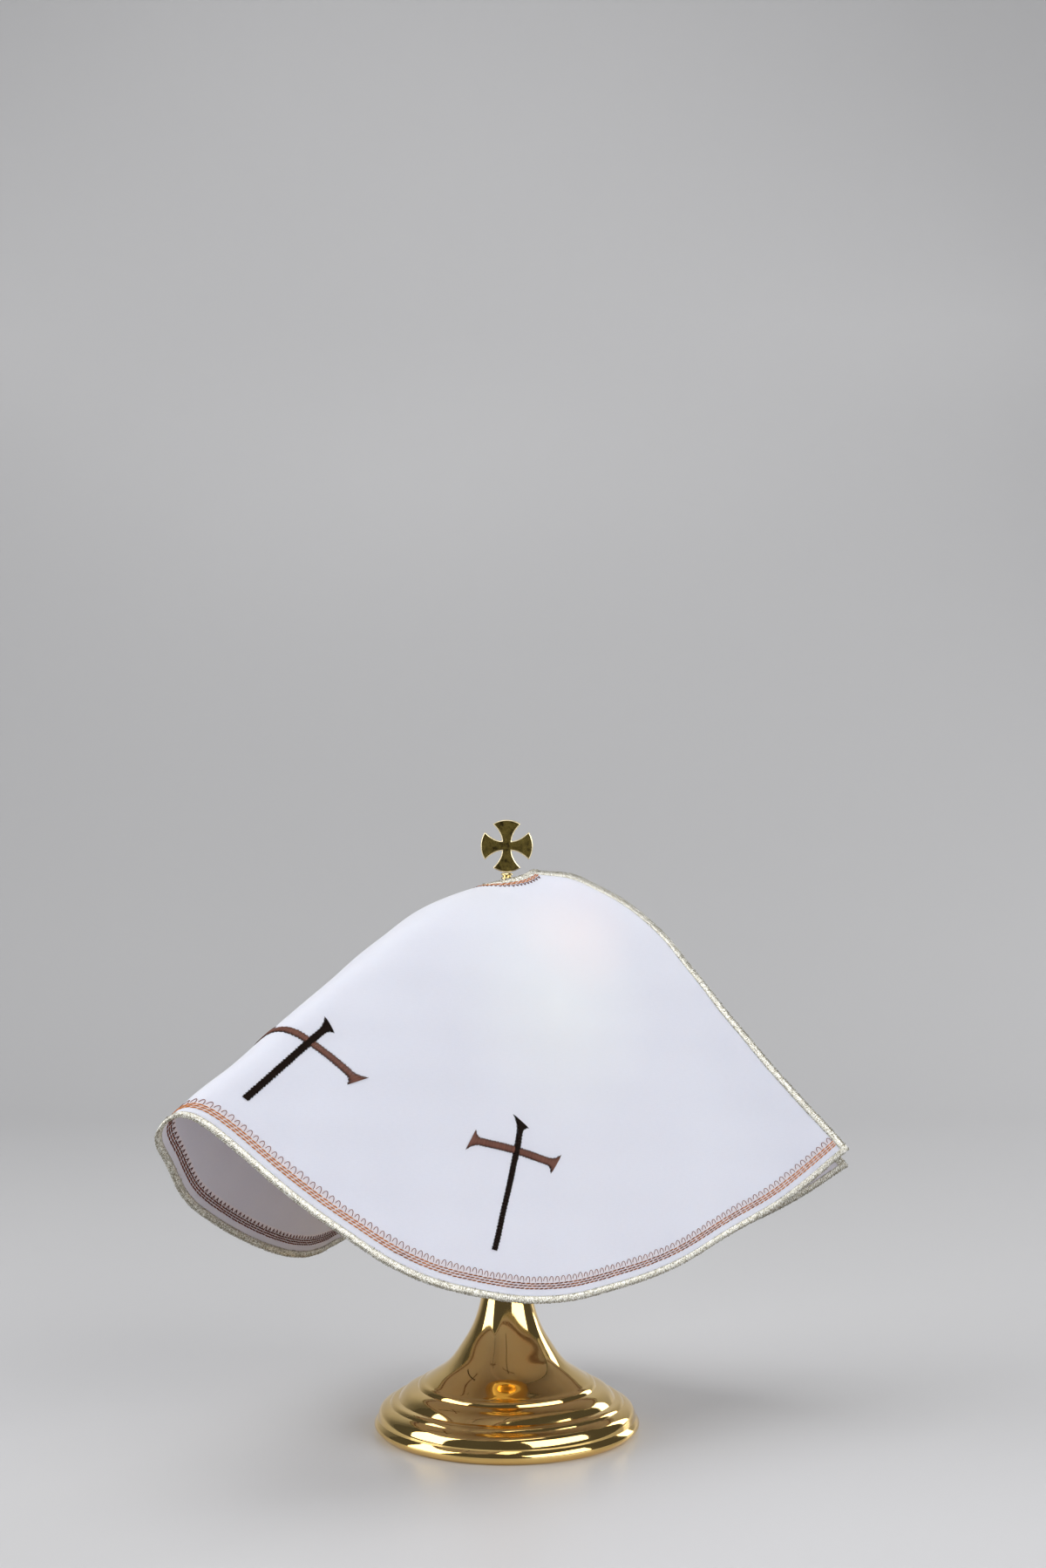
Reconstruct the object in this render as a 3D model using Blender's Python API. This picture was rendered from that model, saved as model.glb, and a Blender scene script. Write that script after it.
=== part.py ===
# A ciborium veil draped on its covered ciborium, for Blender 4.5.
# Metres, +Z up. The origin is the centre of the foot, on the surface it stands on.
# The view from the front looks along +Y, with the veil's slit at the right, towards +X.

import math
from collections import namedtuple

import bmesh
import bpy
import numpy as np
from mathutils import Vector

# Clearances between the turned pieces, and between the cloth and its bindings
PIECE_GAP = 0.0003
SEAM_GAP = 0.0006
MERGE_DISTANCE = 0.000001

# The veil as it is cut: a sector of cloth with a round neck and a metallic binding on every edge
NECK_RADIUS = 0.012
MERIDIAN_LENGTH = 0.210
SECTOR_ANGLE = math.radians(234)
CLOTH_THICKNESS = 0.0012
BINDING_WIDTH = 0.0040
BINDING_THICKNESS = 0.0018
SHOULDER_SOFTNESS = 0.016

# How finely the draped sheets are divided
SPANS_BETWEEN_FOLDS = 3
SHEET_RINGS = 14
SLIT_STEPS = 18
NECK_STEPS = 36
ARC_SAMPLES = 1200

# The draped shape, one row for each fold or station of the hem, from the front slit edge
# round the front, the left wing and the back to the back slit edge.
# hem_x, hem_y, hem_z: the hem. azimuth, radius, height: where the cloth turns over the lid.
Fold = namedtuple("Fold", "hem_x hem_y hem_z azimuth radius height")
FOLDS = (
    Fold(0.165, 0.030, 0.126, 3, 0.0555, 0.259),
    Fold(0.1305, 0.016, 0.102, -9, 0.055, 0.250),
    Fold(0.103, -0.003, 0.091, -20, 0.053, 0.240),
    Fold(0.079, -0.022, 0.082, -31, 0.052, 0.234),
    Fold(0.054, -0.042, 0.077, -42, 0.052, 0.230),
    Fold(0.031, -0.062, 0.075, -53, 0.052, 0.229),
    Fold(0.007, -0.082, 0.078, -63, 0.052, 0.231),
    Fold(-0.014, -0.099, 0.085, -72, 0.052, 0.234),
    Fold(-0.0425, -0.120, 0.0985, -83, 0.053, 0.240),
    Fold(-0.068, -0.133, 0.117, -93, 0.055, 0.246),
    Fold(-0.093, -0.140, 0.137, -103, 0.058, 0.250),
    Fold(-0.117, -0.143, 0.158, -112, 0.061, 0.253),
    Fold(-0.137, -0.143, 0.168, -121, 0.062, 0.253),
    Fold(-0.145, -0.137, 0.161, -128, 0.062, 0.252),
    Fold(-0.1435, -0.121, 0.145, -137, 0.060, 0.249),
    Fold(-0.140, -0.103, 0.129, -147, 0.058, 0.244),
    Fold(-0.130, -0.080, 0.113, -159, 0.055, 0.237),
    Fold(-0.114, -0.048, 0.096, -174, 0.053, 0.231),
    Fold(-0.098, -0.010, 0.083, -192, 0.052, 0.228),
    Fold(-0.087, 0.032, 0.079, -211, 0.052, 0.226),
    Fold(-0.070, 0.072, 0.082, -230, 0.052, 0.226),
    Fold(-0.036, 0.100, 0.089, -249, 0.052, 0.226),
    Fold(0.008, 0.112, 0.091, -269, 0.052, 0.227),
    Fold(0.052, 0.100, 0.086, -290, 0.052, 0.229),
    Fold(0.095, 0.070, 0.079, -313, 0.052, 0.233),
    Fold(0.134, 0.046, 0.095, -337, 0.055, 0.241),
    Fold(0.167, 0.037, 0.118, -355, 0.058, 0.249),
)

# The neck opening, at shares of the way round from the front slit edge to the back one
Neck = namedtuple("Neck", "share x y z")
NECK_STATIONS = (
    Neck(0.00, 0.012, 0.000, 0.264),
    Neck(0.20, 0.004, -0.006, 0.261),
    Neck(0.42, -0.011, -0.003, 0.257),
    Neck(0.65, -0.005, 0.007, 0.2545),
    Neck(1.00, 0.012, 0.0045, 0.2565),
)

# The turned foot from its underside to the top of its stem, as sections that bulge outwards
Section = namedtuple("Section", "radius height bulge")
FOOT_SECTIONS = (
    Section(0.0606, 0.0000, 0.0000),
    Section(0.0614, 0.0010, 0.0009),
    Section(0.0616, 0.0066, 0.0000),
    Section(0.0612, 0.0072, 0.0011),
    Section(0.0562, 0.0129, 0.0000),
    Section(0.0552, 0.0132, 0.0005),
    Section(0.0521, 0.0151, 0.0000),
    Section(0.0511, 0.0153, 0.0011),
    Section(0.0432, 0.0208, 0.0000),
    Section(0.0422, 0.0210, 0.0006),
    Section(0.0392, 0.0236, 0.0000),
)
BULGE_STEPS = 4

# The trumpet of the foot, from its lip up to the knop
Ring = namedtuple("Ring", "radius height")
TRUMPET_RINGS = (
    Ring(0.0384, 0.0241),
    Ring(0.0350, 0.0264),
    Ring(0.0299, 0.0298),
    Ring(0.0261, 0.0335),
    Ring(0.0219, 0.0394),
    Ring(0.0173, 0.0469),
    Ring(0.0145, 0.0535),
    Ring(0.0125, 0.0608),
    Ring(0.0108, 0.0710),
    Ring(0.0098, 0.0820),
    Ring(0.0094, 0.0920),
)
KNOP_RADIUS = 0.0165
KNOP_HEIGHT = 0.0200
NECK_OF_STEM_RADIUS = 0.0085
CUP_FOOT_RADIUS = 0.0150
CUP_BASE_HEIGHT = 0.1263

# The cup and its lid
CUP_RADIUS = 0.0470
CUP_DEPTH = 0.0770
CUP_WALL = 0.0015
CUP_ROUNDNESS = 2.6
LID_RADIUS = 0.0480
LID_RIM_HEIGHT = 0.0030
LID_RISE = 0.0455
LID_POWER = 1.75
LID_WALL = 0.0015
LID_LIP_DEPTH = 0.0050
LID_LIP_CLEARANCE = 0.0006
LID_SEAT_RADIUS = 0.0060
DOME_STEPS = 12

# The finial: a turned knob that carries a flat cross with flared arms inside a circle
CROSS_RADIUS = 0.0123
CROSS_CENTRE_HEIGHT = 0.2757
CROSS_THICKNESS = 0.0022
CROSS_WAIST = 0.0022
CROSS_ARM_HALF_ANGLE = math.radians(32)
CROSS_BEVEL = 0.0004
CROSS_STEPS = 5
KNOB_RINGS = (
    Ring(0.0046, 0.0000),
    Ring(0.0046, 0.0014),
    Ring(0.0022, 0.0024),
    Ring(0.0020, 0.0052),
    Ring(0.0030, 0.0062),
    Ring(0.0034, 0.0075),
    Ring(0.0029, 0.0087),
    Ring(0.0015, 0.0093),
    Ring(0.0021, 0.0100),
    Ring(0.0021, 0.0108),
    Ring(0.0013, 0.0113),
)

# Turned pieces: the number of flats round each
FOOT_STEPS = 48
CUP_STEPS = 36
STEM_STEPS = 28
KNOB_STEPS = 16

GOLD = (0.83, 0.62, 0.27)
CLOTH_WHITE = (0.86, 0.86, 0.90)
BINDING_SILVER = (0.78, 0.76, 0.68)


def clear_scene():
    for item in list(bpy.data.objects):
        bpy.data.objects.remove(item, do_unlink=True)


def make_material(name, colour, roughness, metallic):
    material = bpy.data.materials.new(name)
    material.use_nodes = True
    shader = material.node_tree.nodes["Principled BSDF"]
    shader.inputs["Base Color"].default_value = (*colour, 1.0)
    shader.inputs["Roughness"].default_value = roughness
    shader.inputs["Metallic"].default_value = metallic
    return material


def add_object(name, mesh, material, smooth_angle):
    mesh.materials.append(material)
    mesh.shade_smooth()
    mesh.set_sharp_from_angle(angle=math.radians(smooth_angle))
    item = bpy.data.objects.new(name, mesh)
    bpy.context.scene.collection.objects.link(item)
    return item


def natural_spline(knots, values):
    # A cubic spline through rows of values, with no bending at its two ends
    knots = np.asarray(knots, float)
    values = np.asarray(values, float)
    count = len(knots)
    step = np.diff(knots)
    slope = np.diff(values, axis=0) / step[:, None]
    system = np.zeros((count, count))
    target = np.zeros_like(values)
    system[0, 0] = 1
    system[-1, -1] = 1
    for row in range(1, count - 1):
        system[row, row - 1:row + 2] = (step[row - 1], 2 * (step[row - 1] + step[row]), step[row])
        target[row] = 6 * (slope[row] - slope[row - 1])
    bend = np.linalg.solve(system, target)

    def evaluate(places):
        places = np.atleast_1d(np.asarray(places, float))
        span = np.clip(np.searchsorted(knots, places) - 1, 0, count - 2)
        width = step[span][:, None]
        before = (places - knots[span])[:, None]
        after = width - before
        curved = (bend[span] * after ** 3 + bend[span + 1] * before ** 3) / (6 * width)
        low = (values[span] / width - bend[span] * width / 6) * after
        high = (values[span + 1] / width - bend[span + 1] * width / 6) * before
        return curved + low + high

    return evaluate


class DrapedVeil:
    # The middle surface of the veil. A share runs along the hem from the front slit edge (0)
    # to the back slit edge (1), and a reach runs down the cloth from the neck (0) to the hem (1).

    def __init__(self):
        rows = np.array(FOLDS)
        hem_steps = np.linalg.norm(np.diff(rows[:, :3], axis=0), axis=1)
        self.knots = np.concatenate(([0.0], np.cumsum(hem_steps)))
        self.rows_at = natural_spline(self.knots, rows)
        self.fine = np.linspace(0.0, self.knots[-1], ARC_SAMPLES)
        hem = self.rows_at(self.fine)[:, :3]
        steps = np.linalg.norm(np.diff(hem, axis=0), axis=1)
        self.arc = np.concatenate(([0.0], np.cumsum(steps)))
        self.neck_at = natural_spline([row.share for row in NECK_STATIONS],
                                      [row[1:] for row in NECK_STATIONS])

    def fold_shares(self, spans):
        # Shares that fall on every fold row and on even divisions between them
        places = [self.knots[0]]
        for start, end in zip(self.knots[:-1], self.knots[1:]):
            places.extend(np.linspace(start, end, spans + 1)[1:])
        return np.interp(places, self.fine, self.arc) / self.arc[-1]

    def point(self, share, reach):
        row = self.rows_at(np.interp(share * self.arc[-1], self.arc, self.fine))[0]
        neck = self.neck_at(share)[0]
        hem = row[:3]
        azimuth = math.radians(row[3])
        turn = np.array((row[4] * math.cos(azimuth), row[4] * math.sin(azimuth), row[5]))
        upper = np.linalg.norm(turn - neck)
        lower = np.linalg.norm(hem - turn)
        out = (turn - neck) / upper
        change = (hem - turn) / lower - out
        whole = upper + lower

        def rounded(distance):
            bend = SHOULDER_SOFTNESS * np.logaddexp(0, (distance - upper) / SHOULDER_SOFTNESS)
            return neck + out * distance + change * bend

        start_error = neck - rounded(0.0)
        end_error = hem - rounded(whole)
        return rounded(reach * whole) + start_error * (1 - reach) + end_error * reach


def binding_reach():
    return BINDING_WIDTH / MERIDIAN_LENGTH


def edge_share(width, reach):
    # The share of the hem that a width takes up at a given reach down the cloth
    return width / ((NECK_RADIUS + reach * MERIDIAN_LENGTH) * SECTOR_ANGLE)


def sheet_from_grid(name, columns, thickness, material):
    # Columns of points run down the cloth, and the sheet is thickened to both sides of them
    mesh = bpy.data.meshes.new(name)
    grid = bmesh.new()
    rows = [[grid.verts.new(point) for point in column] for column in columns]
    for left, right in zip(rows[:-1], rows[1:]):
        for index in range(len(left) - 1):
            grid.faces.new((left[index], left[index + 1], right[index + 1], right[index]))
    bmesh.ops.recalc_face_normals(grid, faces=grid.faces)
    grid.to_mesh(mesh)
    grid.free()
    item = add_object(name, mesh, material, 60)
    solidify = item.modifiers.new("Thickness", "SOLIDIFY")
    solidify.thickness = thickness
    solidify.offset = 0.0
    solidify.use_even_offset = False
    return item


def veil_cloth(veil, material):
    inset = BINDING_WIDTH + SEAM_GAP
    first = inset / MERIDIAN_LENGTH
    reaches = np.linspace(first, 1 - first, SHEET_RINGS)
    columns = []
    for column in veil.fold_shares(SPANS_BETWEEN_FOLDS):
        line = []
        for reach in reaches:
            margin = edge_share(inset, reach)
            line.append(veil.point(margin + (1 - 2 * margin) * column, reach))
        columns.append(line)
    return sheet_from_grid("veil_cloth", columns, CLOTH_THICKNESS, material)


def hem_binding(veil, material):
    reaches = (1 - binding_reach(), 1.0)
    columns = [[veil.point(share, reach) for reach in reaches]
               for share in veil.fold_shares(SPANS_BETWEEN_FOLDS)]
    return sheet_from_grid("hem_binding", columns, BINDING_THICKNESS, material)


def neck_binding(veil, material):
    reaches = (0.0, binding_reach())
    columns = [[veil.point(share, reach) for reach in reaches]
               for share in np.linspace(0, 1, NECK_STEPS)]
    return sheet_from_grid("neck_binding", columns, BINDING_THICKNESS, material)


def slit_binding(name, veil, at_front, material):
    gap = (BINDING_WIDTH + SEAM_GAP) / MERIDIAN_LENGTH
    columns = []
    for reach in np.linspace(gap, 1 - gap, SLIT_STEPS):
        across = edge_share(BINDING_WIDTH, reach)
        shares = (0.0, across) if at_front else (1.0 - across, 1.0)
        columns.append([veil.point(share, reach) for share in shares])
    return sheet_from_grid(name, columns, BINDING_THICKNESS, material)


def turned(name, rings, steps, material, closed=False, smooth_angle=35):
    # Turns a half profile of rings round the Z axis. A closed profile gives a hollow ring or shell.
    mesh = bpy.data.meshes.new(name)
    lathe = bmesh.new()
    verts = [lathe.verts.new((radius, 0.0, height)) for radius, height in rings]
    edges = [lathe.edges.new(pair) for pair in zip(verts[:-1], verts[1:])]
    if closed:
        edges.append(lathe.edges.new((verts[-1], verts[0])))
    bmesh.ops.spin(lathe, geom=verts + edges, cent=(0, 0, 0), axis=(0, 0, 1),
                   angle=2 * math.pi, steps=steps, use_merge=True, use_duplicate=False)
    bmesh.ops.remove_doubles(lathe, verts=lathe.verts, dist=MERGE_DISTANCE)
    bmesh.ops.recalc_face_normals(lathe, faces=lathe.faces)
    lathe.to_mesh(mesh)
    lathe.free()
    return add_object(name, mesh, material, smooth_angle)


def bulged_rings(sections):
    # Points along the sections, each section swelling outwards as an arc
    rings = []
    for section, after in zip(sections[:-1], sections[1:]):
        along = Vector((after.radius - section.radius, after.height - section.height))
        outward = Vector((along.y, -along.x)).normalized()
        steps = BULGE_STEPS if section.bulge else 1
        for step in range(steps):
            part = step / steps
            swell = section.bulge * math.sin(math.pi * part)
            rings.append((section.radius + along.x * part + outward.x * swell,
                          section.height + along.y * part + outward.y * swell))
    rings.append((sections[-1].radius, sections[-1].height))
    return rings


def foot(material):
    rings = [(0.0, 0.0)] + bulged_rings(FOOT_SECTIONS)
    rings += [(ring.radius, ring.height) for ring in TRUMPET_RINGS]
    rings.append((0.0, TRUMPET_RINGS[-1].height))
    return turned("foot", rings, FOOT_STEPS, material)


def knop(material):
    base = TRUMPET_RINGS[-1].height + PIECE_GAP
    rings = [(0.0, base)]
    for step in range(DOME_STEPS + 1):
        turn = math.pi * step / DOME_STEPS
        radius = NECK_OF_STEM_RADIUS + (KNOP_RADIUS - NECK_OF_STEM_RADIUS) * math.sin(turn)
        rings.append((radius, base + KNOP_HEIGHT * (1 - math.cos(turn)) / 2))
    rings.append((0.0, base + KNOP_HEIGHT))
    return turned("knop", rings, STEM_STEPS, material)


def upper_stem(material):
    base = TRUMPET_RINGS[-1].height + KNOP_HEIGHT + 2 * PIECE_GAP
    top = CUP_BASE_HEIGHT - PIECE_GAP
    rings = [(0.0, base)]
    for step in range(DOME_STEPS // 2 + 1):
        part = step / (DOME_STEPS // 2)
        radius = NECK_OF_STEM_RADIUS + (CUP_FOOT_RADIUS - NECK_OF_STEM_RADIUS) * part ** 2
        rings.append((radius, base + (top - base) * part))
    rings.append((0.0, top))
    return turned("upper_stem", rings, STEM_STEPS, material)


def bowl_rings(radius, depth, base_height, flat_radius):
    # The bowl's half profile, from the middle of its base to its rim
    rings = [(0.0, base_height)]
    for step in range(DOME_STEPS + 1):
        turn = math.pi / 2 * step / DOME_STEPS
        out = flat_radius + (radius - flat_radius) * math.sin(turn) ** (2 / CUP_ROUNDNESS)
        rings.append((out, base_height + depth * (1 - math.cos(turn))))
    return rings


def cup(material):
    outer = bowl_rings(CUP_RADIUS, CUP_DEPTH, CUP_BASE_HEIGHT, CUP_FOOT_RADIUS)
    inner = bowl_rings(CUP_RADIUS - CUP_WALL, CUP_DEPTH - CUP_WALL,
                       CUP_BASE_HEIGHT + CUP_WALL, CUP_FOOT_RADIUS - CUP_WALL)
    return turned("cup", outer + inner[::-1], CUP_STEPS, material)


def dome_rings(radius, rise, base_height):
    # The lid's dome from its rim to the flat seat of the finial
    rings = []
    for step in range(DOME_STEPS + 1):
        out = radius + (LID_SEAT_RADIUS - radius) * step / DOME_STEPS
        rings.append((out, base_height + rise * (1 - (out / radius) ** LID_POWER)))
    return rings


def lid(material):
    seat = CUP_BASE_HEIGHT + CUP_DEPTH + PIECE_GAP
    rim_top = seat + LID_RIM_HEIGHT
    lip_radius = CUP_RADIUS - CUP_WALL - LID_LIP_CLEARANCE
    outer = dome_rings(LID_RADIUS, LID_RISE, rim_top)
    inner = dome_rings(lip_radius - LID_WALL, LID_RISE - LID_WALL, rim_top)
    rings = [(LID_RADIUS, seat)] + outer + [(0.0, outer[-1][1])]
    rings += [(0.0, inner[-1][1])] + inner[::-1]
    rings += [(lip_radius - LID_WALL, seat - LID_LIP_DEPTH), (lip_radius, seat - LID_LIP_DEPTH),
              (lip_radius, seat)]
    return turned("lid", rings, CUP_STEPS, material, closed=True)


def lid_top_height():
    rim_top = CUP_BASE_HEIGHT + CUP_DEPTH + PIECE_GAP + LID_RIM_HEIGHT
    return rim_top + LID_RISE * (1 - (LID_SEAT_RADIUS / LID_RADIUS) ** LID_POWER)


def finial_knob(material):
    base = lid_top_height() + PIECE_GAP
    top = CROSS_CENTRE_HEIGHT - CROSS_RADIUS - PIECE_GAP
    scale = (top - base) / KNOB_RINGS[-1].height
    rings = [(0.0, base)]
    rings += [(ring.radius, base + ring.height * scale) for ring in KNOB_RINGS]
    rings.append((0.0, top))
    return turned("finial_knob", rings, KNOB_STEPS, material)


def cross_outline():
    # One arm points up, from its waist corner along a hollow side to the arc of its end
    waist = Vector((CROSS_WAIST, CROSS_WAIST))
    corner = CROSS_RADIUS * Vector((math.sin(CROSS_ARM_HALF_ANGLE), math.cos(CROSS_ARM_HALF_ANGLE)))
    hollow = Vector((CROSS_WAIST * 1.1, (waist.y + corner.y) * 0.5))
    arm = []
    for step in range(CROSS_STEPS):
        part = step / CROSS_STEPS
        arm.append(waist * (1 - part) ** 2 + hollow * 2 * part * (1 - part) + corner * part ** 2)
    for step in range(2 * CROSS_STEPS + 1):
        turn = CROSS_ARM_HALF_ANGLE * (1 - step / CROSS_STEPS)
        arm.append(CROSS_RADIUS * Vector((math.sin(turn), math.cos(turn))))
    for point in arm[CROSS_STEPS - 1:0:-1]:
        arm.append(Vector((-point.x, point.y)))
    outline = []
    for quarter in range(4):
        turn = quarter * math.pi / 2
        for point in arm:
            outline.append((point.x * math.cos(turn) - point.y * math.sin(turn),
                            point.x * math.sin(turn) + point.y * math.cos(turn)))
    return outline


def finial_cross(material):
    mesh = bpy.data.meshes.new("finial_cross")
    plate = bmesh.new()
    verts = [plate.verts.new((across, -CROSS_THICKNESS / 2, CROSS_CENTRE_HEIGHT + up))
             for across, up in cross_outline()]
    face = plate.faces.new(verts)
    sweep = bmesh.ops.extrude_face_region(plate, geom=[face])
    moved = [part for part in sweep["geom"] if isinstance(part, bmesh.types.BMVert)]
    bmesh.ops.translate(plate, verts=moved, vec=(0, CROSS_THICKNESS, 0))
    bmesh.ops.recalc_face_normals(plate, faces=plate.faces)
    plate.to_mesh(mesh)
    plate.free()
    item = add_object("finial_cross", mesh, material, 30)
    bevel = item.modifiers.new("Edges", "BEVEL")
    bevel.width = CROSS_BEVEL
    bevel.segments = 1
    bevel.limit_method = "ANGLE"
    bevel.angle_limit = math.radians(60)
    return item


def main():
    clear_scene()
    gold = make_material("polished_gold", GOLD, 0.12, 1.0)
    cloth = make_material("white_cloth", CLOTH_WHITE, 0.85, 0.0)
    braid = make_material("metallic_binding", BINDING_SILVER, 0.45, 0.4)

    foot(gold)
    knop(gold)
    upper_stem(gold)
    cup(gold)
    lid(gold)
    finial_knob(gold)
    finial_cross(gold)

    veil = DrapedVeil()
    veil_cloth(veil, cloth)
    hem_binding(veil, braid)
    neck_binding(veil, braid)
    slit_binding("slit_binding_front", veil, True, braid)
    slit_binding("slit_binding_back", veil, False, braid)


main()
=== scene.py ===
# A white ciborium veil draped on its lidded gold ciborium: the looks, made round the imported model.
# Metres, +Z up, in the model's own frame. Names that end in Mm hold millimetres.
# A place on the cloth is a share, from the front slit edge (0) round to the back slit edge (1),
# and a reach, from the neck (0) down to the hem (1).

import math

import bmesh
import bpy
import numpy as np
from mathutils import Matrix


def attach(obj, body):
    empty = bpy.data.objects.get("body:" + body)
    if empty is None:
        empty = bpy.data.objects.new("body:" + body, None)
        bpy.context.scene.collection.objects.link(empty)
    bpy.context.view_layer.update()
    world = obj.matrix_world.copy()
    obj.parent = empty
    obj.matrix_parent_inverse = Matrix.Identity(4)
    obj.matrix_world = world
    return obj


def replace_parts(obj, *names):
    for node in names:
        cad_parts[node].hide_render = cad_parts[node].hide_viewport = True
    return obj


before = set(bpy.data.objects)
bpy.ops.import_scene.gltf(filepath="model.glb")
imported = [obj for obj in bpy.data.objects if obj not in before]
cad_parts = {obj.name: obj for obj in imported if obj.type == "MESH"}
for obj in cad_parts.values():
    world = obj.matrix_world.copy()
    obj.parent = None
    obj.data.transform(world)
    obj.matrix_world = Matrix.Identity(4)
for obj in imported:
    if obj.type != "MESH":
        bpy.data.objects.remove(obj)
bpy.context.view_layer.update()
chance = np.random.default_rng(11)
mm = 0.001


# Shader maths: a Wire is one output of a node, and a Finish is one material

class Wire:
    def __init__(self, finish, socket):
        self.finish = finish
        self.socket = socket

    def math(self, operation, *parts):
        return self.finish.node("Math", {"operation": operation}, dict(enumerate(parts)))

    def __add__(self, other):
        return self.math("ADD", self, other)

    __radd__ = __add__

    def __sub__(self, other):
        return self.math("SUBTRACT", self, other)

    def __rsub__(self, other):
        return self.math("SUBTRACT", other, self)

    def __mul__(self, other):
        return self.math("MULTIPLY", self, other)

    __rmul__ = __mul__

    def __pow__(self, other):
        return self.math("POWER", self, other)

    def sine(self):
        return self.math("SINE", self)

    def clamp(self):
        return self.math("MINIMUM", self.math("MAXIMUM", self, 0.0), 1.0)


class Finish:
    def __init__(self, name):
        self.material = bpy.data.materials.new(name)
        self.material.use_nodes = True
        self.tree = self.material.node_tree
        self.shader = self.tree.nodes["Principled BSDF"]

    def node(self, kind, settings=None, sockets=None, out=0):
        made = self.tree.nodes.new("ShaderNode" + kind)
        for key, value in (settings or {}).items():
            setattr(made, key, value)
        for key, value in (sockets or {}).items():
            self.feed(self.find(made.inputs, key), value)
        return Wire(self, self.find(made.outputs, out))

    def find(self, sockets, key):
        if isinstance(key, int):
            return sockets[key]
        return next((s for s in sockets if s.identifier == key), None) or sockets[key]

    def feed(self, target, value):
        if isinstance(value, Wire):
            self.tree.links.new(value.socket, target)
        else:
            target.default_value = (*value, 1.0) if target.type == "RGBA" else value

    def onPart(self):
        return self.node("TexCoord", out="Object")

    def carried(self, label):
        # What a mesh holds at each point, such as its place on the flat cloth
        return self.node("Attribute", {"attribute_name": label}, out="Vector")

    def split(self, place):
        made = self.node("SeparateXYZ", {}, {0: place}).socket.node
        return [Wire(self, output) for output in made.outputs]

    def vector(self, operation, *parts, out=0):
        return self.node("VectorMath", {"operation": operation}, dict(enumerate(parts)), out)

    def nearness(self, place, centre, sizeMm, most=1.0):
        # Falls from its most at a centre to 0 at a distance, and is kept between 0 and 1
        distance = self.vector("DISTANCE", place, centre, out="Value")
        return (most - distance * (1 / (sizeMm * mm))).clamp()

    def mix(self, factor, first, second):
        return self.node("Mix", {"data_type": "RGBA"},
                         {"Factor_Float": factor, "A_Color": first, "B_Color": second},
                         "Result_Color")

    def noise(self, place, scale, detail=2.0, roughness=0.5):
        return self.node("TexNoise", {}, {"Vector": place, "Scale": scale, "Detail": detail,
                                          "Roughness": roughness})

    def bump(self, height, depthMm, strength=1.0):
        return self.node("Bump", {}, {"Height": height, "Distance": depthMm * mm,
                                      "Strength": strength})

    def set(self, sockets):
        for key, value in sockets.items():
            self.feed(self.shader.inputs[key], value)
        return self.material


# How the veil is cut and draped, as in the solids with a faint ripple added

drape = {
    "neckRadiusMm": 12,
    "meridianMm": 210,
    "sectorAngle": math.radians(234),
    "shoulderSoftness": 0.016,
    "rippleMm": 0.28,
    "calmReach": 0.12,      # no ripple above this reach, and all of it a span below
    "calmSpan": 0.3,
    "frameStep": 0.0015,    # how far apart the points lie that give the way out of the cloth
}
hemRadiusMm = drape["neckRadiusMm"] + drape["meridianMm"]


# The finishes

clothLook = {
    "white": (0.755, 0.77, 0.875),
    "shade": (0.675, 0.69, 0.80),
    # the under side: the same white cloth, greyer with painted shade
    "inside": (0.60, 0.585, 0.635),
    "insideShade": (0.53, 0.515, 0.565),
    "threadMm": 0.42,
    "weftStretch": (420.0, 2400.0, 1.0),    # how the slubs of weft and warp are drawn out
    "warpStretch": (2400.0, 300.0, 1.0),
    "weftShare": 0.65,
    "cloudScale": 22.0,
    "shadeStrength": 0.6,
    "weaveStrength": 0.12,
    "weaveDepthMm": 0.05,
    "paintedRowTint": (0.80, 0.66, 0.63),      # painted light and shade: the pinkish tint the copper rows cast on the cloth round them
    "paintedRowTintMm": (5.7, 11.2),
    "paintedRowTintStrength": 0.38,
    "roughness": 0.86,
}
# painted light: a paler pool of light where the cloth faces up below the lid, and a painted
# warm glow where the gold lid that it lies on shows through it
paintedLightPatches = (
    {"colour": (0.90, 0.93, 0.97), "place": (0.0234, -0.0475, 0.2065), "sizeMm": 62,
     "strength": 0.6, "power": 1.2},
    {"colour": (0.98, 0.85, 0.87), "place": (0.040, -0.034, 0.246), "sizeMm": 42,
     "strength": 0.95, "power": 1.4},
)


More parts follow.
